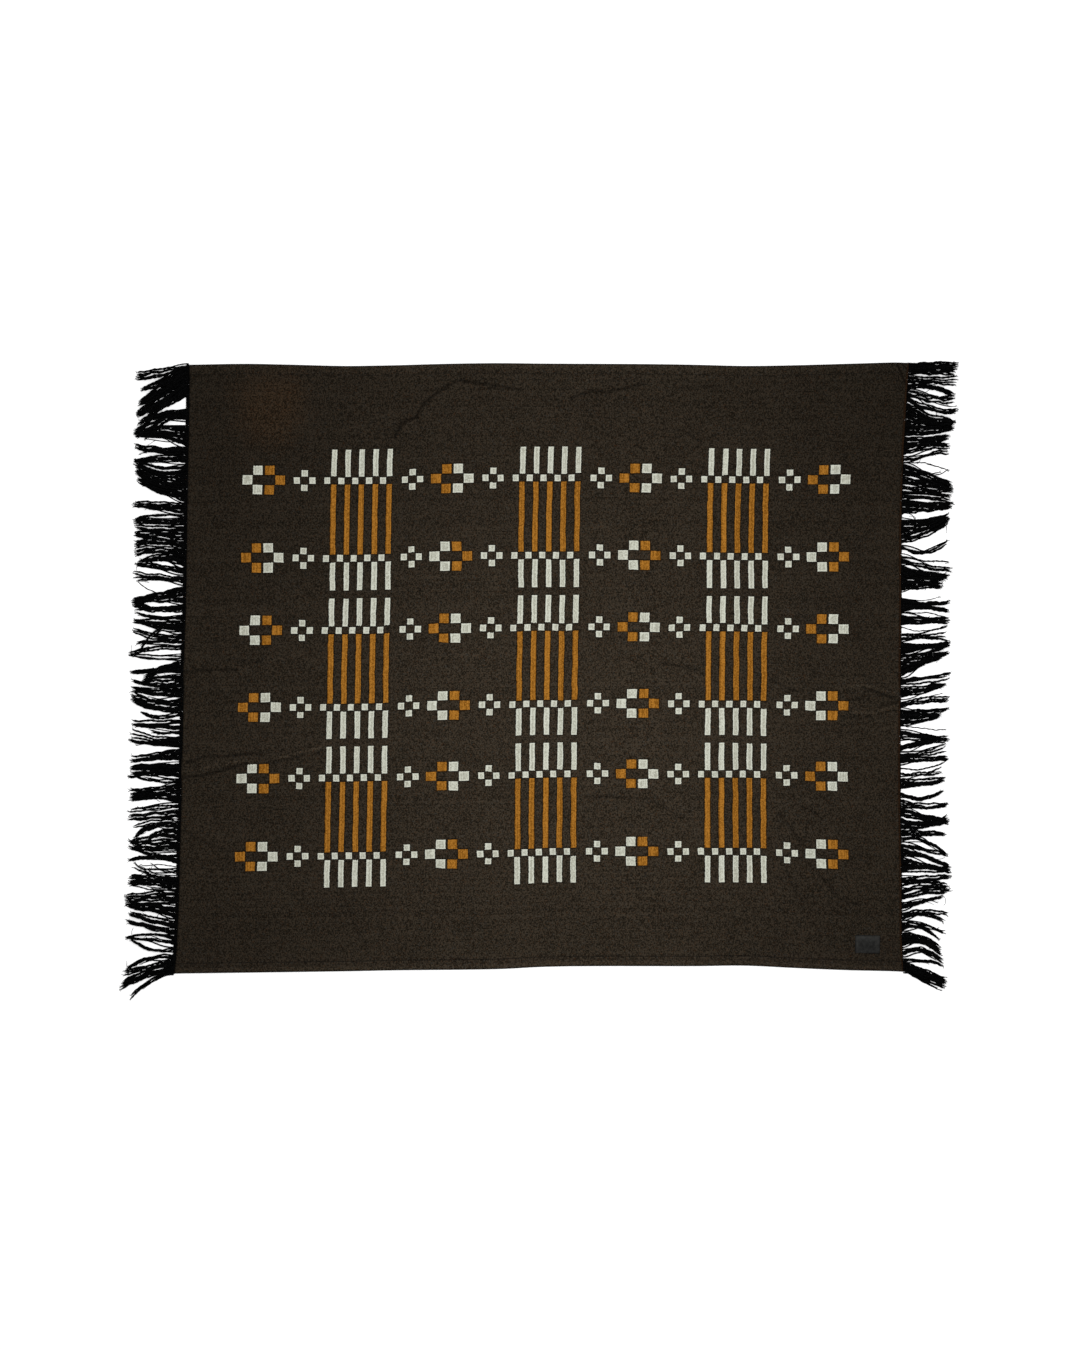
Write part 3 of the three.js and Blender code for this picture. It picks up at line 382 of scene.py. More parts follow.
# Where the top side and the underside lie on the cloth's bake map: a corner and a size
BAKE_TOP = np.array([[0.004, 0.28], [0.992, 0.716]])
BAKE_UNDER = np.array([[0.004, 0.004], [0.992, 0.268]])
WHOLE = np.array([[0, 0], [1, 1]])

# Sizes of the flecks, clouds, fibres and pores in the materials, and how deep their fine relief is
HEATHER_SIZE = 0.0026
CLOUD_SIZE = 0.09
WANDER_SIZE = 0.045
YARN_FIBRE = 0.0016
LOOP_FIBRE = 0.0012
THREAD_FIBRE = 0.0009
MOTTLE_SIZE = 0.006
PORES_PER_METRE = 900
WEAVE_RELIEF = 0.0006
YARN_RELIEF = 0.0006
PATCH_RELIEF = 0.0003

# Floor, lights and camera
FLOOR_HALF = 30
FLOOR_GLOW = 0.45
SKY = 0.55
OVERHEAD_POWER = 13
WINDOW_POWER = 60
FRAME_HEIGHT = 2.886
LENS = 85
FILM = 36
CAMERA_X = 0.0017
CAMERA_Y = 0.0098


def shade(red, green, blue):
    """Turns a colour as it looks on a screen, 0 to 255, into the surface's own linear colour."""
    linear = [(value / 255 / 12.92) if value < 10.3 else ((value / 255 + 0.055) / 1.055) ** 2.4
              for value in (red, green, blue)]
    return (*linear, 1)


# Colours
GROUND_DARK = shade(21, 17, 11)
GROUND_LIGHT = shade(59, 51, 41)
GROUND_WARM = shade(66, 42, 22)
GROUND_GREY = shade(58, 58, 55)
BLOTCH = (1.5, 1.25, 1.05, 1)
# Painted shade in the tucks and in the recess round the woven figures
RECESS_SHADE = shade(14, 9, 6)
WHITE_LOW = shade(150, 150, 136)
WHITE_HIGH = shade(196, 198, 184)
OCHRE_LOW = shade(108, 67, 14)
OCHRE_HIGH = shade(162, 109, 40)
YARN_DARK = shade(1, 1, 1)
# Painted highlight on the yarn's fibres
YARN_GLINT = shade(27, 27, 28)
PATCH_DARK = shade(17, 17, 17)
PATCH_LIGHT = shade(52, 52, 50)
THREAD_DARK = shade(14, 12, 10)
FLOOR_WHITE = (0.86, 0.86, 0.86, 1)

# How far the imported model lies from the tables' own plan
corner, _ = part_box("cloth")
SHIFT = (corner[0] - TABLE_CORNER[0], corner[1] - TABLE_CORNER[1])


# Shape of the cloth

def smooth(t):
    """A soft step from 0 to 1."""
    t = np.clip(t, 0, 1)
    return t * t * (3 - 2 * t)


def read_edge(rows, at):
    """Reads a smooth line through the rows of an edge table."""
    ats = np.array([row[0] for row in rows])
    edges = np.array([row[1] for row in rows])
    if ats[0] > ats[-1]:
        ats, edges = ats[::-1], edges[::-1]
    at = np.clip(np.asarray(at, float), ats[0], ats[-1])
    start = np.clip(np.searchsorted(ats, at, side="right") - 1, 0, len(ats) - 2)
    before = np.maximum(start - 1, 0)
    end = start + 1
    after = np.minimum(start + 2, len(ats) - 1)
    span = ats[end] - ats[start]
    t = (at - ats[start]) / span
    start_slope = (edges[end] - edges[before]) / (ats[end] - ats[before]) * span
    end_slope = (edges[after] - edges[start]) / (ats[after] - ats[start]) * span
    t2 = t * t
    t3 = t2 * t
    return ((2 * t3 - 3 * t2 + 1) * edges[start] + (t3 - 2 * t2 + t) * start_slope
            + (3 * t2 - 2 * t3) * edges[end] + (t3 - t2) * end_slope)


def cloth_point(along, down):
    """Where a place on the cloth lies in the tables' own plan, blended from the four edges."""
    def on_row(rows, t):
        at = rows[0][0] + (rows[-1][0] - rows[0][0]) * t
        return at, read_edge(rows, at)

    top_x, top_y = on_row(TOP_EDGE, along)
    bottom_x, bottom_y = on_row(BOTTOM_EDGE, along)
    left_y, left_x = on_row(LEFT_EDGE, down)
    right_y, right_x = on_row(RIGHT_EDGE, down)

    def blend(top, bottom, left, right, corners):
        bilinear = ((1 - along) * (1 - down) * corners[0] + along * (1 - down) * corners[1]
                    + (1 - along) * down * corners[2] + along * down * corners[3])
        return top * (1 - down) + bottom * down + left * (1 - along) + right * along - bilinear

    ends = (TOP_EDGE[0], TOP_EDGE[-1], BOTTOM_EDGE[0], BOTTOM_EDGE[-1])
    x = blend(top_x, bottom_x, left_x, right_x, [end[0] for end in ends])
    y = blend(top_y, bottom_y, left_y, right_y, [end[1] for end in ends])
    return x, y


def crease_height(rows, x, y):
    """How high the creases lift the cloth."""
    height = np.zeros_like(x)
    for row in rows:
        run = (row.x2 - row.x1, row.y2 - row.y1)
        t = np.clip(((x - row.x1) * run[0] + (y - row.y1) * run[1]) / (run[0] ** 2 + run[1] ** 2), 0, 1)
        distance = np.hypot(x - row.x1 - run[0] * t, y - row.y1 - run[1] * t)
        fade = np.clip(1 - (distance / row.reach) ** 2, 0, 1) ** 2
        height = np.maximum(height, row.height * fade)
    return height


def waves(x, y, length, seed):
    """A gentle uneven swell between 0 and 1, from a few crossing waves about a length apart."""
    draw = np.random.default_rng(seed)
    total = np.zeros_like(x)
    for _ in range(WAVE_COUNT):
        angle = draw.uniform(0, math.pi)
        pitch = length * draw.uniform(0.7, 1.5)
        phase = draw.uniform(0, 2 * math.pi)
        total = total + np.sin(2 * math.pi * (x * math.cos(angle) + y * math.sin(angle)) / pitch + phase)
    return np.clip(0.5 + total / (2.6 * math.sqrt(WAVE_COUNT)), 0, 1)


def hem_share(distance):
    """1 on the double hem, 0 on the single cloth, with a slope at the line of stitches."""
    ats = [row[0] for row in HEM_PROFILE]
    return np.interp(distance, ats, [row[1] for row in HEM_PROFILE])


def patch_middle():
    """The middle of the patch's solid on the plan."""
    low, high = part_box("patch")
    return (low[0] + high[0]) / 2, (low[1] + high[1]) / 2


def cloth_surface(along, down):
    """Plan, underside and top side of the cloth at places given by arrays."""
    x, y = cloth_point(along, down)
    from_hem = np.minimum(down, 1 - down) * FLAT_SIZE[1]
    from_fringe = np.minimum(along, 1 - along) * FLAT_SIZE[0]
    hem = hem_share(from_hem)
    thickness = CLOTH_THICKNESS + (HEM_THICKNESS - CLOTH_THICKNESS) * hem
    patch_x, patch_y = patch_middle()
    from_patch = np.hypot(x + SHIFT[0] - patch_x, y + SHIFT[1] - patch_y)
    calm = smooth((from_patch - PATCH_LENGTH * 0.62) / 0.05)
    swell = UNDULATION * (waves(x, y, 0.085, 3) + 0.5 * waves(x, y, 0.027, 4)) * calm
    swell = swell + PUCKER * hem * waves(x * 2.2, y * 0.2, 0.05, 5)
    lift = crease_height(CREASES, x, y) + swell
    inside = np.minimum(from_hem, from_fringe) / (thickness * 0.5)
    fullness = np.sqrt(1 - (1 - np.clip(inside, 0, 1)) ** 2)
    middle = lift + thickness / 2
    groove = GROOVE_DEPTH * np.exp(-((from_hem - HEM_WIDTH) / GROOVE_HALF) ** 2)
    top = middle + thickness / 2 * fullness - crease_height(TUCKS, x, y)
    under = np.maximum(middle - thickness / 2 * fullness + groove, 0)
    return x + SHIFT[0], y + SHIFT[1], under, top


def spaced(length, rim):
    """Places from 0 to 1 along a side, closer together near both rims."""
    rim = [at / length for at in rim]
    count = round((1 - 2 * rim[-1]) * length / GRID_STEP)
    middle = np.linspace(rim[-1], 1 - rim[-1], count + 1)[1:-1]
    return np.concatenate([rim, middle, [1 - at for at in reversed(rim)]])


def chart_down(down):
    """Turns a place down the cloth into woven units, through the measured rows."""
    ats = np.array([row[0] for row in CHART_ROWS])
    units = np.array([row[1] for row in CHART_ROWS], float)
    inside = np.interp(down, ats, units)
    above = units[0] + (down - ats[0]) * UNITS_DOWN
    below = units[-1] + (down - ats[-1]) * UNITS_DOWN
    return np.where(down < ats[0], above, np.where(down > ats[-1], below, inside))


def new_piece(name, points, faces, material):
    """Makes a mesh object that rides with the blanket."""
    mesh = bpy.data.meshes.new(name)
    mesh.from_pydata([tuple(point) for point in points], [], [tuple(face) for face in faces])
    mesh.polygons.foreach_set("use_smooth", [True] * len(mesh.polygons))
    mesh.materials.append(material)
    mesh.update()
    piece = bpy.data.objects.new(name, mesh)
    bpy.context.scene.collection.objects.link(piece)
    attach(piece, "root")
    return piece


def add_map(mesh, name, values):
    """Adds a UV map from one pair of values for each corner of each face."""
    layer = mesh.uv_layers.new(name=name)
    layer.data.foreach_set("uv", np.asarray(values, "f").ravel())


def make_cloth(material):
    """One closed thin sheet, with a rounded rim and a double hem along the top and the bottom."""
    alongs = spaced(FLAT_SIZE[0], FRINGE_COLUMNS)
    downs = spaced(FLAT_SIZE[1], HEM_ROWS)
    down, along = np.meshgrid(downs, alongs, indexing="ij")
    x, y, under, top = cloth_surface(along, down)
    rows, columns = down.shape
    number = np.arange(rows * columns).reshape(rows, columns)
    rim = np.ones((rows, columns), bool)
    rim[1:-1, 1:-1] = False
    under_number = number.copy()
    under_number[~rim] = rows * columns + np.arange((~rim).sum())
    points = np.concatenate([
        np.stack([x, y, top], -1).reshape(-1, 3),
        np.stack([x, y, under], -1)[~rim],
    ])

    def corners(grid, upward):
        """The grid's values at each quad's corners, counterclockwise as seen from its side."""
        a, b, c, d = grid[:-1, :-1], grid[1:, :-1], grid[1:, 1:], grid[:-1, 1:]
        order = (a, b, c, d) if upward else (a, d, c, b)
        return np.stack(order, 2)

    faces = np.concatenate([corners(number, True), corners(under_number, False)]).reshape(-1, 4)
    piece = new_piece("blanket_cloth", points, faces, material)

    bowed = down - BOW * (1 - down) * (2 * along - 1) ** 2
    weave = np.stack([(along - CHART_MIDDLE) * UNIT_COUNT, chart_down(bowed)], -1)
    place = np.stack([along, down], -1)
    for name, grid, top_box, under_box in (("weave", weave, WHOLE, WHOLE), ("place", place, WHOLE, WHOLE),
                                           ("OFBake", place, BAKE_TOP, BAKE_UNDER)):
        front = top_box[0] + corners(grid, True).reshape(-1, 2) * top_box[1]
        back = under_box[0] + corners(grid, False).reshape(-1, 2) * under_box[1]
        add_map(piece.data, name, np.concatenate([front, back]))
    return piece


# Yarn and stitches

def tube(path, radii, sides, first_turn=0, ply=0, flat=1):
    """Points and faces of a closed tube along a path. A ply above 0 gives it two twisted lobes."""
    path = np.asarray(path)
    heading = np.gradient(path, axis=0)
    heading /= np.linalg.norm(heading, axis=1)[:, None]
    side = np.cross(np.array([0, 0, 1.0]), heading)
    side /= np.linalg.norm(side, axis=1)[:, None]
    up = np.cross(heading, side)
    lengths = np.concatenate([[0], np.cumsum(np.linalg.norm(np.diff(path, axis=0), axis=1))])
    twist = first_turn + 2 * math.pi * lengths / PLY_TURN
    angles = 2 * math.pi * np.arange(sides) / sides
    lobes = 1 - ply + ply * np.cos(2 * (angles[None, :] - twist[:, None]))
    reach = np.asarray(radii)[:, None] * lobes
    ring = (path[:, None, :]
            + side[:, None, :] * (np.cos(angles)[None, :] * reach)[:, :, None]
            + up[:, None, :] * (np.sin(angles)[None, :] * reach * flat)[:, :, None])
    points = ring.reshape(-1, 3)
    faces = []
    for step in range(len(path) - 1):
        for k in range(sides):
            a = step * sides + k
            b = step * sides + (k + 1) % sides
            faces.append((a, b, b + sides, a + sides))
    last = (len(path) - 1) * sides
    faces.append(tuple(range(sides - 1, -1, -1)))
    faces.append(tuple(last + k for k in range(sides)))
    return points, faces


class Bundle:
    """Collects tubes into one mesh."""

    def __init__(self):
        self.points = []
        self.faces = []
        self.count = 0

    def add(self, points, faces):
        self.points.append(points)
        self.faces.extend(tuple(corner + self.count for corner in face) for face in faces)
        self.count += len(points)

    def piece(self, name, material, slot):
        return new_piece(name, np.concatenate(self.points), self.faces, material)


class Pile:
    """Remembers how high the yarns already lie over each small cell of floor."""

    def __init__(self, low, high):
        self.low = np.array(low)
        self.size = np.ceil((np.array(high) - self.low) / PILE_CELL).astype(int) + 8
        self.height = np.zeros(self.size)

    def cells(self, point, radius):
        reach = int(radius / PILE_CELL) + 1
        middle = np.round((point - self.low) / PILE_CELL).astype(int) + 4
        i0, j0 = np.clip(middle - reach, 0, self.size - 1)
        i1, j1 = np.clip(middle + reach + 1, 1, self.size)
        i, j = np.meshgrid(np.arange(i0, i1), np.arange(j0, j1), indexing="ij")
        x = (i - 4) * PILE_CELL + self.low[0]
        y = (j - 4) * PILE_CELL + self.low[1]
        away = np.hypot(x - point[0], y - point[1])
        bulge = np.sqrt(np.clip(radius ** 2 - away ** 2, 0, None))
        return slice(i0, i1), slice(j0, j1), bulge, away < radius

    def rest(self, plan, radius):
        """The height at which a yarn's middle comes to lie on what is already there."""
        heights = []
        for point in plan:
            i, j, bulge, near = self.cells(point, radius)
            heights.append(max(radius, np.max(np.where(near, self.height[i, j] + bulge, radius))))
        return np.array(heights)

    def add(self, plan, heights, radius):
        for point, height in zip(plan, heights):
            i, j, bulge, near = self.cells(point, radius)
            before = self.height[i, j]
            self.height[i, j] = np.where(near, np.maximum(before, height + bulge), before)


def yarn_plan(edge_rows, side, root, drop, s):
    """Where a yarn lies, from how far down and how far out each of its points is."""
    top_y = edge_rows[0][0]
    x = read_edge(edge_rows, top_y - root) + side * s + SHIFT[0]
    return np.stack([x, top_y - drop + SHIFT[1]], -1)


def ripple(s, lengths, draw):
    """A wave along a yarn, from -1 to 1, with a random length and start."""
    return np.sin(2 * math.pi * (s / draw.uniform(*lengths) + draw.random()))


def lock_plans(locks, edge_rows, side, draw):
    """The plan, radii and distances from the cloth of each yarn, lock by lock."""
    yarns = []
    for lock in locks:
        width = lock.last - lock.first
        lock_wave = (draw.uniform(*WAVE_LENGTHS), draw.random(), draw.uniform(*WAVE_HEIGHTS))
        count = max(1, round(max(width, lock.spread + LOOSENESS / 2) / YARN_PITCH))
        radius = YARN_RADIUS if count > 1 else min(max(lock.spread * 0.6, THIN_RADIUS), YARN_RADIUS)
        longest = draw.integers(count)
        for number in range(count):
            share = number / (count - 1) - 0.5 if count > 1 else 0
            trim = 0 if number == longest else min(abs(draw.normal(0, TRIM)), TRIM_MOST)
            s = np.linspace(ROOT_START, lock.reach * (1 - trim), YARN_STEPS)
            t = np.clip((s - LOCK_START) / (lock.reach - LOCK_START), 0, 1)
            line = ((lock.first + lock.last) / 2 * (1 - t) * (1 - 2 * t) + lock.middle * 4 * t * (1 - t)
                    + lock.tip * t * (2 * t - 1) + lock.swing * np.sin(2 * math.pi * t))
            widths = [width, lock.spread + LOOSENESS, lock.tip_width + 1.4 * LOOSENESS]
            room = np.interp(t, [0, 0.5, 1], widths) - 2 * radius
            bow = draw.normal(0, YARN_BOW) * np.sin(math.pi * t)
            common = lock_wave[2] * np.sin(2 * math.pi * (s / lock_wave[0] + lock_wave[1]))
            own = draw.uniform(*OWN_HEIGHTS) * ripple(s, OWN_LENGTHS, draw)
            crinkle = draw.uniform(*CRINKLE_HEIGHTS) * ripple(s, CRINKLE_LENGTHS, draw)
            free = smooth(s / CALM_ROOT)
            drop = line + share * np.maximum(room, LEAST_ROOM) + bow + (common + own) * free + crinkle
            root = line[0] + share * max(room[0], LEAST_ROOM)
            size = radius * draw.uniform(0.88, 1.12)
            knobs = 1 + KNOBS * ripple(s, KNOB_LENGTHS, draw)
            radii = size * knobs * np.interp(s, [0, 0.012, s[-1] - 0.005, s[-1]], [1.08, 1, 1, 0.75])
            yarns.append((yarn_plan(edge_rows, side, root, drop, s), radii))
    return yarns


def feeder_plans(locks, edge_rows, side, draw):
    """Thinner yarns rooted beside each lock, which run in and join it part of the way out."""
    yarns = []
    for lock in locks:
        if lock.last - lock.first < FEEDER_LEAST:
            continue
        for end, way in ((lock.first, -1), (lock.last, 1)):
            if draw.random() > FEEDER_SHARE:
                continue
            root = end + way * draw.uniform(*FEEDER_ASIDE)
            s = np.linspace(ROOT_START, lock.reach * draw.uniform(*FEEDER_REACH), FEEDER_STEPS)
            t = s / lock.reach
            sides = [end, lock.middle + way * lock.spread / 2, lock.tip + way * lock.tip_width / 2]
            home = np.interp(t, [0, 0.5, 1], sides)
            lag = draw.uniform(*FEEDER_LAG)
            drop = root + (home - root) * smooth(t / lag) + draw.normal(0, FEEDER_BOW) * np.sin(math.pi * t)
            radii = draw.uniform(*FEEDER_RADII) * np.interp(t, [0, t[-1] - 0.1, t[-1]], [1.2, 1, 0.6])
            yarns.append((yarn_plan(edge_rows, side, root, drop, s), radii))
    return yarns


def stray_plans(locks, edge_rows, side, draw):
    """Single yarns that leave their lock and lie across its neighbours."""
    yarns = []
    for index in draw.choice(len(locks), STRAYS, replace=False):
        lock = locks[index]
        root = draw.uniform(lock.first, lock.last)
        s = np.linspace(ROOT_START, lock.reach * draw.uniform(*STRAY_REACH), FEEDER_STEPS)
        t = s / s[-1]
        lean = draw.choice([-1, 1]) * draw.uniform(*STRAY_LEAN)
        bow = draw.normal(0, STRAY_BOW) * np.sin(math.pi * t)
        drop = root + (lock.tip - root) * smooth(t) + lean * t ** 2 + bow
        radii = draw.uniform(*STRAY_RADII) * np.interp(t, [0, 0.9, 1], [1.2, 1, 0.5])
        yarns.append((yarn_plan(edge_rows, side, root, drop, s), radii))
    return yarns


def add_hairs(bundle, locks, edge_rows, side, draw):
    """Fine loose fibres that curl out of the locks."""
    for _ in range(HAIRS):
        lock = locks[draw.integers(len(locks))]
        t0 = draw.uniform(0.25, 0.95)
        start = (lock.first + lock.last) / 2 * (1 - t0) + lock.tip * t0
        length = draw.uniform(*HAIR_LENGTHS)
        turn = draw.normal(0, 0.9) + draw.normal(0, 1.3) * np.linspace(0, 1, HAIR_STEPS + 1)
        step = length / HAIR_STEPS
        s = t0 * lock.reach + np.cumsum(np.cos(turn)) * step
        drop = start + draw.normal(0, 0.004) + np.cumsum(np.sin(turn)) * step
        plan = yarn_plan(edge_rows, side, np.full(HAIR_STEPS + 1, start), drop, np.minimum(s, lock.reach))
        z = np.linspace(*HAIR_HEIGHTS, HAIR_STEPS + 1)
        radii = np.linspace(*HAIR_RADII, HAIR_STEPS + 1)
        bundle.add(*tube(np.column_stack([plan, z]), radii, 4))


def fray(bundle, end, heading, radius, draw):
    """A few loose ply ends that splay out of a yarn's cut end."""
    for _ in range(FRAYS):
        length = draw.uniform(*FRAY_LENGTHS)
        t = np.linspace(0, 1, FRAY_STEPS + 1)
        angle = draw.uniform(-0.5, 0.5) + draw.uniform(-0.6, 0.6) * t
        cos, sin = np.cos(angle), np.sin(angle)
        moves = np.stack([heading[0] * cos - heading[1] * sin, heading[0] * sin + heading[1] * cos], -1)
        plan = end[:2] + np.concatenate([[[0, 0]], np.cumsum(moves[1:] * length / FRAY_STEPS, axis=0)])
        plan = plan + draw.uniform(-0.5, 0.5) * radius * np.array([-heading[1], heading[0]])
        height = np.maximum(end[2] * (1 - 0.5 * t) + draw.uniform(-0.4, 0.2) * radius, FRAY_RADII[0])
        radii = np.linspace(*FRAY_RADII, FRAY_STEPS + 1)
        bundle.add(*tube(np.column_stack([plan, height]), radii, FRAY_SIDES))


def make_fringe(name, node, locks, edge_rows, side, seed, material):
    """Loose yarns that leave the knots and lie over each other on the floor."""
    draw = np.random.default_rng(seed)
    yarns = lock_plans(locks, edge_rows, side, draw)
    order = feeder_plans(locks, edge_rows, side, draw)
    order = order + [yarns[index] for index in draw.permutation(len(yarns))]
    order = order + stray_plans(locks, edge_rows, side, draw)
    low = np.min([plan.min(axis=0) for plan, _ in order], axis=0)
    high = np.max([plan.max(axis=0) for plan, _ in order], axis=0)
    pile = Pile(low, high)
    bundle = Bundle()
    kernel = np.array([1, 2, 3, 2, 1]) / 9
    for plan, radii in order:
        radius = radii[len(radii) // 2]
        heights = radius + SINK * (pile.rest(plan, radius) - radius)
        heights = np.convolve(np.pad(heights, 2, mode="edge"), kernel, mode="valid")
        pile.add(plan, heights, radius)
        path = np.column_stack([plan, np.maximum(heights, radii)])
        sides = YARN_SIDES if len(plan) == YARN_STEPS else FEEDER_SIDES
        bundle.add(*tube(path, radii, sides, draw.uniform(0, 6.3), PLY_DEPTH))
        heading = path[-1, :2] - path[-3, :2]
        fray(bundle, path[-1], heading / np.linalg.norm(heading), radii[-1], draw)
    add_hairs(bundle, locks, edge_rows, side, draw)
    piece = bundle.piece(name, material, "fringe")
    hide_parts(node)
    return piece


def knot_rows(edge_rows, draw):
    """How far down the edge each knot lies, and the edge's place there."""
    top_y, bottom_y = edge_rows[0][0], edge_rows[-1][0]
    count = round((top_y - bottom_y) / KNOT_PITCH)
    for number in range(count):
        y = top_y - (number + 0.5) * (top_y - bottom_y) / count + draw.normal(0, 0.0004)
        yield float(read_edge(edge_rows, y)) + SHIFT[0], y + SHIFT[1]


def make_knots(name, edge_rows, side, inside, outside, seed, material):
    """A row of knots along a fringed edge, each a doubled yarn drawn over the cloth's rim."""
    draw = np.random.default_rng(seed)
    bundle = Bundle()
    s = np.array([-inside - 0.0012, -inside, -inside * 0.4,
                  outside * 0.3, outside * 0.75, outside, outside + 0.002])
    z = np.array([0.0018, 0.0027, 0.0036, 0.0038, 0.0034, 0.0028, 0.0022])
    for x, y in knot_rows(edge_rows, draw):
        for half in (-1, 1):
            lean = draw.normal(0, 0.0003)
            path = np.stack([x + side * s, y + half * KNOT_SPREAD + lean * s / 0.004, z], -1)
            radii = KNOT_RADIUS * draw.uniform(0.9, 1.1) * np.array([0.5, 0.8, 1, 1.05, 1.05, 1, 0.8])
            bundle.add(*tube(path, radii, 6, flat=0.8))
    return bundle.piece(name, material, "fringe")


def make_edge_loops(name, edge_rows, side, middle, seed, material):
    """Brown threads of the cloth that show between the knots."""
    draw = np.random.default_rng(seed)
    bundle = Bundle()
    for x, y in knot_rows(edge_rows, draw):
        if draw.random() < LOOPS_MISSING:
            continue
        s = middle + np.linspace(-0.0016, 0.0016, 5)
        z = 0.0036 + 0.0012 * np.array([-1.5, 0, 0.4, 0, -1.5])
        path = np.stack([x + side * s, np.full(5, y + KNOT_PITCH / 2), z], -1)
        bundle.add(*tube(path, np.full(5, LOOP_RADIUS), 5))
    return bundle.piece(name, material, "cloth")


def make_hem_stitches(material):
    """Two rows of small stitches that hold the hems."""
    bundle = Bundle()
    count = int(FLAT_SIZE[0] / STITCH_PITCH) - 1
    draw = np.random.default_rng(21)
    for row in (HEM_WIDTH / FLAT_SIZE[1], 1 - HEM_WIDTH / FLAT_SIZE[1]):
        for number in range(count):
            start = (number + 1) * STITCH_PITCH + draw.normal(0, 0.0004)
            length = STITCH_LENGTH * draw.uniform(0.8, 1.1)
            along = np.linspace(start, start + length, 5) / FLAT_SIZE[0]
            down = np.full(5, row) + draw.normal(0, 0.0003) / FLAT_SIZE[1]
            x, y, _, top = cloth_surface(along, down)
            z = top + STITCH_RADIUS * np.array([-1.2, 0.5, 0.9, 0.5, -1.2])
            bundle.add(*tube(np.stack([x, y, z], -1), np.full(5, STITCH_RADIUS), 5))
    return bundle.piece("hem_stitches", material, "cloth")


def rounded_outline(length, width, radius):
    """The outline of a rectangle with round corners, counterclockwise."""
    points = []
    for turn, (sx, sy) in enumerate(((1, 1), (-1, 1), (-1, -1), (1, -1))):
        for step in range(CORNER_STEPS + 1):
            angle = math.pi / 2 * (turn + step / CORNER_STEPS)
            points.append((sx * (length / 2 - radius) + radius * math.cos(angle),
                           sy * (width / 2 - radius) + radius * math.sin(angle)))
    return np.array(points)


def patch_place(local):
    """Turns and moves the patch's own plan to its place on the cloth."""
    middle = patch_middle()
    cos, sin = math.cos(PATCH_TURN), math.sin(PATCH_TURN)
    return np.stack([middle[0] + local[:, 0] * cos - local[:, 1] * sin,
                     middle[1] + local[:, 0] * sin + local[:, 1] * cos], -1)


def make_patch(material):
    """A bare leather patch with a soft rim, a pressed line inside it and a gently crowned middle."""
    floor = CLOTH_THICKNESS + PATCH_GAP
    rings = (
        (0.0004, 0), (0, 0.0003), (0, PATCH_RIM * 0.6), (0.0004, PATCH_RIM * 0.92), (0.0011, PATCH_RIM),
        (0.002, PATCH_RIM * 0.98), (PATCH_SEAM, PATCH_RIM * 0.8), (0.0034, PATCH_RIM * 0.98),
        (0.006, PATCH_MIDDLE * 0.96), (0.011, PATCH_MIDDLE), (0.017, PATCH_MIDDLE),
    )
    points = []
    for inset, height in rings:
        radius = max(PATCH_CORNER - inset * 0.8, 0.0008)
        outline = rounded_outline(PATCH_LENGTH - 2 * inset, PATCH_WIDTH - 2 * inset, radius)
        points.append(np.column_stack([patch_place(outline), np.full(len(outline), floor + height)]))
    around = len(points[0])
    faces = []
    for ring in range(len(rings) - 1):
        for k in range(around):
            a = ring * around + k
            b = ring * around + (k + 1) % around
            faces.append((a, b, b + around, a + around))
    faces.append(tuple(range(around - 1, -1, -1)))
    faces.append(tuple((len(rings) - 1) * around + k for k in range(around)))
    piece = new_piece("sewn_patch", np.concatenate(points), faces, material)
    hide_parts("patch")
    return piece


def make_patch_stitches(material):
    """Small stitches in the pressed line round the patch."""
    bundle = Bundle()
    size = (PATCH_LENGTH - 2 * PATCH_SEAM, PATCH_WIDTH - 2 * PATCH_SEAM)
    outline = rounded_outline(*size, PATCH_CORNER * 0.5)
    loop = np.concatenate([outline, outline[:1]])
    lengths = np.concatenate([[0], np.cumsum(np.linalg.norm(np.diff(loop, axis=0), axis=1))])
    count = round(lengths[-1] / PATCH_STITCH_PITCH)
    rise = PATCH_STITCH_RADIUS * np.array([-1.3, 0.4, 0.8, 0.4, -1.3])
    for number in range(count):
        at = (number + np.linspace(0.1, 0.82, 5)) * lengths[-1] / count
        local = np.column_stack([np.interp(at, lengths, loop[:, 0]), np.interp(at, lengths, loop[:, 1])])
        z = CLOTH_THICKNESS + PATCH_GAP + PATCH_RIM * 0.8 + rise
        bundle.add(*tube(np.column_stack([patch_place(local), z]), np.full(5, PATCH_STITCH_RADIUS), 5))
    return bundle.piece("patch_stitches", material, "patch")


# Materials

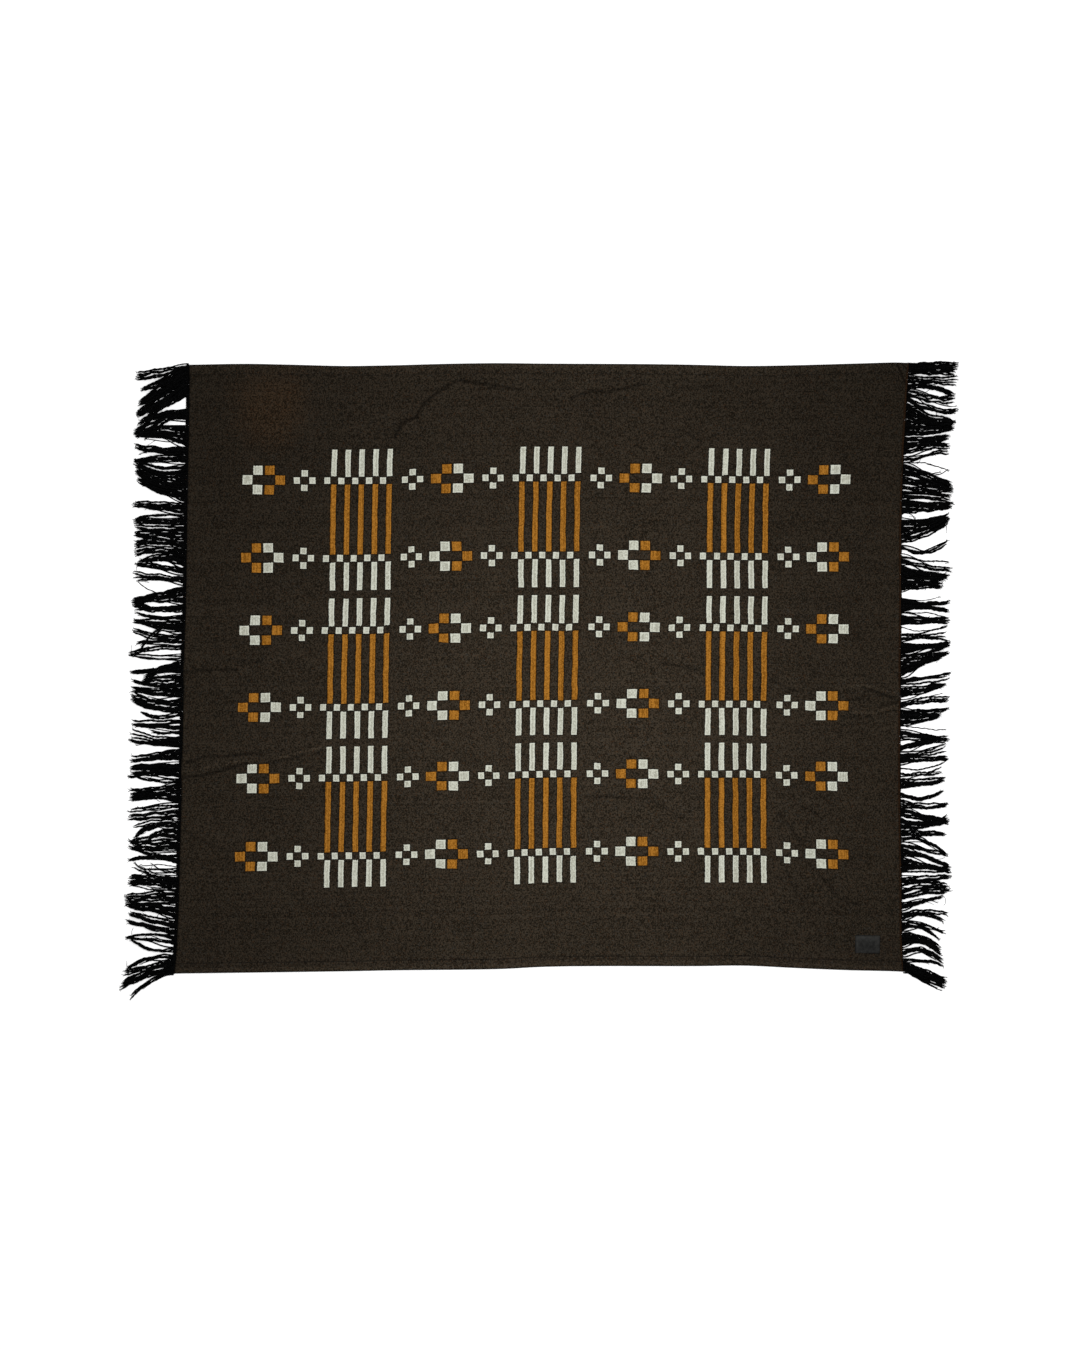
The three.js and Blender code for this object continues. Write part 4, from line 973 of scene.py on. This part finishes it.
class Signal:
    """A number that varies over a surface. Working with signals adds shader nodes."""

    def __init__(self, tree, socket):
        self.tree = tree
        self.socket = socket

    def calc(self, operation, *others):
        node = self.tree.nodes.new("ShaderNodeMath")
        node.operation = operation
        for place, value in enumerate((self, *others)):
            feed(self.tree, value, node.inputs[place])
        return Signal(self.tree, node.outputs[0])

    def vector(self, operation, other):
        node = self.tree.nodes.new("ShaderNodeVectorMath")
        node.operation = operation
        feed(self.tree, self, node.inputs[0])
        feed(self.tree, other, node.inputs[1])
        result = "Value" if operation in ("DOT_PRODUCT", "DISTANCE") else "Vector"
        return Signal(self.tree, node.outputs[result])

    def __add__(self, other):
        return self.calc("ADD", other)

    def __sub__(self, other):
        return self.calc("SUBTRACT", other)

    def __mul__(self, other):
        return self.calc("MULTIPLY", other)

    def __abs__(self):
        return self.calc("ABSOLUTE")

    def low(self, other):
        return self.calc("MINIMUM", other)

    def high(self, other):
        return self.calc("MAXIMUM", other)

    def below(self, edge):
        return self.calc("LESS_THAN", edge)

    def above(self, edge):
        return self.calc("GREATER_THAN", edge)

    def floor(self):
        return self.calc("FLOOR")

    def fraction(self):
        return self.calc("FRACT")

    def repeat(self, period):
        return self.calc("FLOORED_MODULO", period)

    def centred(self, period):
        return self.calc("WRAP", period / 2, -period / 2)

    def ramp(self, start, end, low=0, high=1):
        node = self.tree.nodes.new("ShaderNodeMapRange")
        node.interpolation_type = "SMOOTHSTEP"
        feed(self.tree, self, node.inputs["Value"])
        for name, value in (("From Min", start), ("From Max", end), ("To Min", low), ("To Max", high)):
            node.inputs[name].default_value = value
        return Signal(self.tree, node.outputs["Result"])


def feed(tree, value, socket):
    """Links a signal to a socket, or sets a plain value on it."""
    if isinstance(value, Signal):
        tree.links.new(value.socket, socket)
    else:
        socket.default_value = value


def new_material(name):
    """A material with one shader, ready for its colour."""
    material = bpy.data.materials.new(name)
    material.use_nodes = True
    tree = material.node_tree
    tree.nodes.clear()
    shader = tree.nodes.new("ShaderNodeBsdfPrincipled")
    output = tree.nodes.new("ShaderNodeOutputMaterial")
    tree.links.new(shader.outputs["BSDF"], output.inputs["Surface"])
    return material, tree, shader


def mix(tree, share, first, second, blend="MIX"):
    """Mixes two colours by a share, which may be a signal."""
    node = tree.nodes.new("ShaderNodeMix")
    node.data_type = "RGBA"
    node.blend_type = blend
    feed(tree, share, node.inputs["Factor"])
    for value, socket in ((first, node.inputs[6]), (second, node.inputs[7])):
        feed(tree, value, socket)
    return Signal(tree, node.outputs[2])


def dress(tree, shader, colour, roughness, specular):
    """Gives a shader its colour, and how rough and how shiny it is."""
    tree.links.new(colour.socket, shader.inputs["Base Color"])
    shader.inputs["Roughness"].default_value = roughness
    shader.inputs["Specular IOR Level"].default_value = specular


def first_two(tree, socket):
    """The first two parts of a vector."""
    node = tree.nodes.new("ShaderNodeSeparateXYZ")
    tree.links.new(socket, node.inputs[0])
    return Signal(tree, node.outputs["X"]), Signal(tree, node.outputs["Y"])


def uv_pair(tree, name):
    """The two values of a UV map."""
    source = tree.nodes.new("ShaderNodeUVMap")
    source.uv_map = name
    return first_two(tree, source.outputs["UV"])


def vector(tree, x, y, z=0):
    """Joins signals or plain values into a vector."""
    node = tree.nodes.new("ShaderNodeCombineXYZ")
    for value, socket in zip((x, y, z), node.inputs):
        feed(tree, value, socket)
    return Signal(tree, node.outputs[0])


def position(tree):
    """The place on the object, in metres."""
    node = tree.nodes.new("ShaderNodeTexCoord")
    return Signal(tree, node.outputs["Object"])


def noise(tree, place, feature, detail=2.0, roughness=0.55):
    """Soft random clouds about a feature's size across, in metres where place is a position."""
    node = tree.nodes.new("ShaderNodeTexNoise")
    feed(tree, place, node.inputs["Vector"])
    node.inputs["Scale"].default_value = 1 / feature
    node.inputs["Detail"].default_value = detail
    node.inputs["Roughness"].default_value = roughness
    return Signal(tree, node.outputs["Fac"])


def dice(tree, place):
    """One random number for each whole-numbered place."""
    node = tree.nodes.new("ShaderNodeTexWhiteNoise")
    node.noise_dimensions = "3D"
    feed(tree, place, node.inputs["Vector"])
    return Signal(tree, node.outputs["Value"])


def bump(tree, shader, height, distance, strength):
    """Roughens a shader by a height signal."""
    node = tree.nodes.new("ShaderNodeBump")
    node.inputs["Strength"].default_value = strength
    node.inputs["Distance"].default_value = distance
    feed(tree, height, node.inputs["Height"])
    tree.links.new(node.outputs["Normal"], shader.inputs["Normal"])


def box(across, down, half_across, half_down):
    """How far a place is outside a rectangle about 0, 0. It is below 0 inside."""
    return (abs(across) - half_across).high(abs(down) - half_down)


def chart_figures(u, v):
    """Distances, in woven units, from the white and the ochre figures of the chart."""
    far = 9
    in_columns = abs(u).above(COLUMN_PERIOD * 1.5) * far
    in_rows = abs(v - 31.5).above(31.5) * far
    band = v.repeat(BAND_PERIOD)
    from_row = abs(band - 4.5).low(abs(band - 15.5))
    lower_row = band.above(10)
    column = u.centred(COLUMN_PERIOD)

    bar_line = column - 0.42
    in_bars = abs(bar_line) - BAR_PITCH * 2.5
    bar = abs(bar_line.centred(BAR_PITCH)) - BAR_HALF
    bars = bar.high(in_bars)
    white_bars = bars.high(abs(band - 1.97).low(abs(band - 18.02)) - 1.9)
    ochre_bars = bars.high(abs(band - 10) - 4.97)

    check_line = column + 0.5
    in_checks = abs(check_line) - BAR_PITCH * 2.5
    checks = (abs(check_line.centred(BAR_PITCH)) - CHECK_HALF).high(in_checks).high(from_row - CHECK_TALL)

    from_cross = abs(column) - 7.65
    cross = box(abs(from_cross) - 1.085, from_row, 0.425, 0.45)
    cross = cross.low(box(from_cross, from_row - 1.04, 0.425, 0.43))

    ring_line = (u - COLUMN_PERIOD / 2 + 0.1).centred(COLUMN_PERIOD)
    from_ring = abs(ring_line)
    ring = box(from_ring - 2.31, from_row, 0.685, 0.655)
    ring = ring.low(box(from_ring - 0.825, from_row - 1.38, 0.655, 0.64))
    white_left = abs(lower_row - u.below(-COLUMN_PERIOD))
    half_differs = abs(ring_line.below(0) - white_left)
    ring_white = ring + half_differs * far
    ring_ochre = ring + (half_differs - 1) * -far

    white_columns = white_bars.low(checks).low(cross) + in_columns
    ochre_columns = ochre_bars + in_columns
    return (white_columns.low(ring_white) + in_rows), (ochre_columns.low(ring_ochre) + in_rows)


def painted_light_falloff(along, down):
    """Painted light and shade on the ground: it is lightest right of and below the middle, and darkest along the
    fringed edges.
    """
    across = along.ramp(0, 0.5, 0.7, 1) * along.ramp(0.62, 1, 1, 0.72)
    length = down.ramp(0, 0.6, 0.76, 1) * down.ramp(0.75, 1, 1, 0.92)
    rims = along.ramp(0.0005, 0.0035, 0.5, 1) * along.ramp(0.9975, 0.9995, 1, 0.75)
    return across * length * rims


def hem_light_and_shade(down):
    """The double hem is a little lighter, with painted shade on its dark rim and along its stitch line, which
    shows most at the bottom, and painted light on a band of the top hem.
    """
    from_hem = down.low(down * -1 + 1)
    # Painted shade along the stitch lines, deeper at the bottom hem
    bottom_line = abs(down - (1 - STITCH_LINE)).ramp(0.0003, 0.0012, 0.45, 1)
    top_line = abs(down - STITCH_LINE).ramp(0.0003, 0.0012, 0.85, 1)
    # Painted light on a band of the top hem, where its slope faces away from the light
    painted_top_hem_light = down.ramp(0.006, 0.011, 1, 1.17) * down.ramp(0.0165, 0.02, 1, 0.855)
    rim = from_hem.ramp(0.0006, 0.0028, 0.25, 1)
    return from_hem.ramp(0.004, 0.0125, 1.3, 1) * bottom_line * top_line * painted_top_hem_light * rim


def near_line(x, y, row, width):
    """1 on a straight line on the cloth, 0 farther from it than a width."""
    run = (row.x2 - row.x1, row.y2 - row.y1)
    length = math.hypot(*run)
    from_start = ((x - row.x1 - SHIFT[0]) * (run[0] / length), (y - row.y1 - SHIFT[1]) * (run[1] / length))
    ahead = from_start[0] + from_start[1]
    aside = (x - row.x1 - SHIFT[0]) * (run[1] / length) - (y - row.y1 - SHIFT[1]) * (run[0] / length)
    beyond = abs(ahead - length / 2) - length / 2
    return abs(aside).high(beyond).ramp(width * 0.3, width, 1, 0)


def from_segment(tree, place, start, end):
    """How far a place on the plan is from a straight piece of a wrinkle."""
    run = (end[0] - start[0], end[1] - start[1], 0)
    length = math.hypot(*run)
    ahead = place.vector("SUBTRACT", (start[0] + SHIFT[0], start[1] + SHIFT[1], 0))
    share = ahead.vector("DOT_PRODUCT", [value / length ** 2 for value in run]).high(0).low(1)
    foot = tree.nodes.new("ShaderNodeVectorMath")
    foot.operation = "SCALE"
    foot.inputs[0].default_value = run
    feed(tree, share, foot.inputs["Scale"])
    return ahead.vector("DISTANCE", Signal(tree, foot.outputs[0]))


def wrinkle_shading(tree, place):
    """How strongly a place takes a trough's painted shade and a crest's painted highlight, each from 0 to 1."""
    sums = {TROUGH_HALF: None, CREST_HALF: None}
    for wrinkle in WRINKLES:
        half = TROUGH_HALF if wrinkle.depth > 0 else CREST_HALF
        for start, end in zip(wrinkle.places, wrinkle.places[1:]):
            near = from_segment(tree, place, start, end).ramp(0, half, abs(wrinkle.depth), 0)
            sums[half] = near if sums[half] is None else sums[half].high(near)
    return sums[TROUGH_HALF], sums[CREST_HALF]


def cloth_material():
    """Heathered dark ground with inlaid figures, worked thread by thread on the woven chart."""
    material, tree, shader = new_material("blanket_weave")
    u, v = uv_pair(tree, "weave")
    along, down = uv_pair(tree, "place")
    place = position(tree)

    pick = (v * PICKS_PER_UNIT).floor()
    end = (u * ENDS_PER_UNIT + pick * 0.5).floor()
    thread = dice(tree, vector(tree, end, pick))
    pick_tint = dice(tree, vector(tree, pick, 3))
    end_tint = dice(tree, vector(tree, (u * ENDS_PER_UNIT).floor(), 7))
    heather = noise(tree, place, HEATHER_SIZE, 3, 0.65)
    warm = noise(tree, vector(tree, u * 1.0, v * 1.4, 11), 0.26, 2, 0.6)
    grey = noise(tree, vector(tree, u * 1.0, v * 1.4, 37), 0.3, 2, 0.6)
    clouds = noise(tree, place, CLOUD_SIZE, 3, 0.6)

    # Ragged outlines: each pick bulges a little, and each pick and end strays a little
    pick_wave = abs((v * PICKS_PER_UNIT).fraction() - 0.5)
    end_wave = abs((u * ENDS_PER_UNIT).fraction() - 0.5)
    wander = noise(tree, place, WANDER_SIZE, 1)
    drift = noise(tree, vector(tree, u * 0.06, v * 0.06, 5), 0.2, 1)
    u_worn = u + (pick_tint - 0.5) * 0.04 + (wander - 0.5) * 0.24
    v_worn = v + (end_tint - 0.5) * 0.05 + (drift - 0.5) * 0.35
    white, ochre = chart_figures(u_worn, v_worn)
    ragged = (pick_wave - 0.25) * 0.12 + (end_wave - 0.25) * 0.04
    white = white + ragged
    ochre = ochre + ragged
    figure = white.low(ochre)

    fine = (heather - 0.5) * 3.1 + (thread - 0.5) * 0.7
    level = fine + (pick_tint - 0.5) * 0.16 + (clouds - 0.5) * 0.3 + 0.45
    ground = mix(tree, level.ramp(0, 1), GROUND_DARK, GROUND_LIGHT)
    ground = mix(tree, warm.ramp(0.58, 0.72, 0, 0.55), ground, GROUND_WARM)
    ground = mix(tree, grey.ramp(0.58, 0.72, 0, 0.5), ground, GROUND_GREY)
    # Painted light falloff over the ground, and the hems' painted light and shade
    ground = mix(tree, 1.0, ground, painted_light_falloff(along, down) * hem_light_and_shade(down), "MULTIPLY")
    x, y = first_two(tree, place.socket)
    squares = (x - BLOTCH_PLACE[0]).calc("POWER", 2) + (y - BLOTCH_PLACE[1]).calc("POWER", 2)
    from_blotch = squares.calc("SQRT")
    blotch = (from_blotch + (clouds - 0.5) * 0.08).ramp(0.03, 0.11, 1, 0)
    ground = mix(tree, blotch, ground, BLOTCH, "MULTIPLY")
    # Painted shade along the tucks
    for tuck in TUCKS:
        ground = mix(tree, near_line(x, y, tuck, TUCK_SHADE_WIDTH) * 0.92, ground, RECESS_SHADE)
    # Painted shade in the fine wrinkles' troughs and painted highlight on their crests
    plan = vector(tree, x + (wander - 0.5) * WRINKLE_WANDER, y + (drift - 0.5) * WRINKLE_WANDER)
    trough, crest = wrinkle_shading(tree, plan)
    wrinkle_light_and_shade = crest * CREST_HIGHLIGHT - trough * TROUGH_SHADE + 1
    # Painted shade in the recess round the woven figures, which also dips the bump
    recess_shade = figure.ramp(0.03, 0.19, 0.9, 0)
    ground = mix(tree, recess_shade, ground, RECESS_SHADE)

    inlay_level = (heather - 0.5) * 2.2 + (thread - 0.5) * 0.5 + (end_tint - 0.5) * 0.4 + 0.42
    border = figure.ramp(-0.22, -0.06, 0, 0.45)
    inlay_share = (inlay_level + border).ramp(0, 1)
    white_yarn = mix(tree, inlay_share, WHITE_LOW, WHITE_HIGH)
    ochre_yarn = mix(tree, (inlay_level + 0.06).ramp(0, 1), OCHRE_LOW, OCHRE_HIGH)
    colour = mix(tree, white.ramp(0.02, -0.02), ground, white_yarn)
    colour = mix(tree, ochre.ramp(0.02, -0.02), colour, ochre_yarn)
    colour = mix(tree, 1.0, colour, wrinkle_light_and_shade, "MULTIPLY")

    raised = figure.ramp(0.06, -0.06)
    rib = (pick_wave * 2).ramp(0, 1) * 0.5 + (end_wave * 2).ramp(0, 1) * 0.3 + (thread - 0.5) * 0.3
    height = rib * 0.5 + raised * 0.8 - recess_shade * 0.6 + heather * 0.5
    bump(tree, shader, height, WEAVE_RELIEF, 0.8)
    dress(tree, shader, colour, 0.95, 0.03)
    shader.inputs["Sheen Weight"].default_value = 0.02
    shader.inputs["Sheen Roughness"].default_value = 0.5
    return material


def yarn_material():
    """Matt black spun yarn, with painted highlights on fibres that catch a little light."""
    material, tree, shader = new_material("fringe_yarn")
    place = position(tree)
    fibres = noise(tree, place, YARN_FIBRE, 3, 0.65)
    colour = mix(tree, fibres.ramp(0.45, 0.78), YARN_DARK, YARN_GLINT)
    bump(tree, shader, fibres, YARN_RELIEF, 0.7)
    dress(tree, shader, colour, 0.85, 0.01)
    return material


def patch_material():
    """Matt charcoal leather, bare, with a fine grain, a lighter border with painted shade on its outer rim, and
    painted light that makes its top lighter than its bottom.
    """
    material, tree, shader = new_material("patch_leather")
    place = position(tree)
    grain = tree.nodes.new("ShaderNodeTexVoronoi")
    grain.feature = "DISTANCE_TO_EDGE"
    grain.inputs["Scale"].default_value = PORES_PER_METRE
    feed(tree, place, grain.inputs["Vector"])
    pores = Signal(tree, grain.outputs["Distance"])
    mottle = noise(tree, place, MOTTLE_SIZE, 4, 0.6)
    x, y = first_two(tree, place.socket)
    middle = patch_middle()
    across, upward = x - middle[0], y - middle[1]
    from_rim = box(across, upward, PATCH_LENGTH / 2, PATCH_WIDTH / 2)
    # Lighter towards the border, with painted shade along the outer rim, and painted light that grows towards
    # the top
    lighter_border_shaded_rim = from_rim.ramp(-0.016, -0.002, 0, 0.2) - from_rim.ramp(-0.002, -0.0008, 0, 0.5)
    painted_light_from_above = upward.ramp(-PATCH_WIDTH / 2, PATCH_WIDTH / 2, -0.16, 0.1)
    level = mottle * 0.8 + pores.ramp(0, 0.25, 0, 0.2) + lighter_border_shaded_rim + painted_light_from_above - 0.03
    colour = mix(tree, level.ramp(0.1, 1), PATCH_DARK, PATCH_LIGHT)
    bump(tree, shader, pores.ramp(0, 0.25) + mottle * 0.5, PATCH_RELIEF, 0.8)
    dress(tree, shader, colour, 0.62, 0.06)
    return material


def loop_material():
    """Brown threads of the cloth's own ground."""
    material, tree, shader = new_material("ground_thread")
    fibres = noise(tree, position(tree), LOOP_FIBRE, 2)
    colour = mix(tree, fibres.ramp(0.35, 0.8), THREAD_DARK, GROUND_WARM)
    dress(tree, shader, colour, 0.95, 0.03)
    return material


def thread_material():
    """Dark sewing thread."""
    material, tree, shader = new_material("sewing_thread")
    fibres = noise(tree, position(tree), THREAD_FIBRE, 2)
    colour = mix(tree, fibres.ramp(0.3, 0.7), THREAD_DARK, GROUND_DARK)
    dress(tree, shader, colour, 0.8, 0.2)
    return material


def floor_material():
    """Plain white studio table, lit a little from within, so that it hardly takes a shadow."""
    material, tree, shader = new_material("studio_floor")
    shader.inputs["Base Color"].default_value = FLOOR_WHITE
    shader.inputs["Roughness"].default_value = 1
    shader.inputs["Specular IOR Level"].default_value = 0
    shader.inputs["Emission Color"].default_value = (1, 1, 1, 1)
    shader.inputs["Emission Strength"].default_value = FLOOR_GLOW
    return material


# Stage

def make_floor():
    """A plain floor that reaches past the picture."""
    half = FLOOR_HALF
    corners = [(-half, -half, 0), (half, -half, 0), (half, half, 0), (-half, half, 0)]
    mesh = bpy.data.meshes.new("studio_floor")
    mesh.from_pydata(corners, [], [(0, 1, 2, 3)])
    mesh.materials.append(floor_material())
    floor = bpy.data.objects.new("studio_floor", mesh)
    bpy.context.scene.collection.objects.link(floor)


def add_area_light(name, place, target, size, power):
    """A round soft light aimed at a place."""
    light = bpy.data.lights.new(name, "AREA")
    light.shape = "DISK"
    light.size = size
    light.energy = power
    holder = bpy.data.objects.new(name, light)
    holder.location = place
    aim = [t - p for t, p in zip(target, place)]
    flat = math.hypot(aim[0], aim[1])
    holder.rotation_euler = (math.atan2(flat, -aim[2]), 0, math.atan2(aim[1], aim[0]) - math.pi / 2)
    holder.visible_camera = False
    bpy.context.scene.collection.objects.link(holder)


def light_stage():
    """Soft light from above and from behind the top edge, under a pale sky."""
    world = bpy.data.worlds.new("studio")
    world.use_nodes = True
    background = world.node_tree.nodes["Background"]
    background.inputs["Color"].default_value = (1, 1, 1, 1)
    background.inputs["Strength"].default_value = SKY
    bpy.context.scene.world = world
    add_area_light("overhead", (0.12, -0.12, 1.5), (0.12, -0.12, 0), 0.9, OVERHEAD_POWER)
    add_area_light("window", (0.3, 3.4, 3.0), (0, 0, 0), 1.6, WINDOW_POWER)
    bpy.context.scene.view_settings.view_transform = "Standard"


def place_camera():
    """A long lens straight above the blanket."""
    camera = bpy.data.cameras.new("camera")
    camera.lens = LENS
    camera.sensor_fit = "VERTICAL"
    camera.sensor_height = FILM
    camera.clip_end = 100
    holder = bpy.data.objects.new("camera", camera)
    holder.location = (CAMERA_X, CAMERA_Y, FRAME_HEIGHT * LENS / FILM)
    bpy.context.scene.collection.objects.link(holder)
    bpy.context.scene.camera = holder


place_camera()
cloth = make_cloth(cloth_material())
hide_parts("cloth")
yarn = yarn_material()
left_fringe = make_fringe("fringe_yarns_left", "fringe_left", LEFT_LOCKS, LEFT_EDGE, -1, 11, yarn)
right_fringe = make_fringe("fringe_yarns_right", "fringe_right", RIGHT_LOCKS, RIGHT_EDGE, 1, 12, yarn)
brown = loop_material()
left_knots = make_knots("edge_knots_left", LEFT_EDGE, -1, 0.0008, 0.0036, 13, yarn)
right_knots = make_knots("edge_knots_right", RIGHT_EDGE, 1, 0.0018, 0.0008, 14, brown)
left_loops = make_edge_loops("edge_loops_left", LEFT_EDGE, -1, 0.0024, 15, brown)
right_loops = make_edge_loops("edge_loops_right", RIGHT_EDGE, 1, -0.0015, 16, brown)
thread = thread_material()
hem_stitches = make_hem_stitches(thread)
patch = make_patch(patch_material())
patch_stitches = make_patch_stitches(thread)
make_floor()
light_stage()
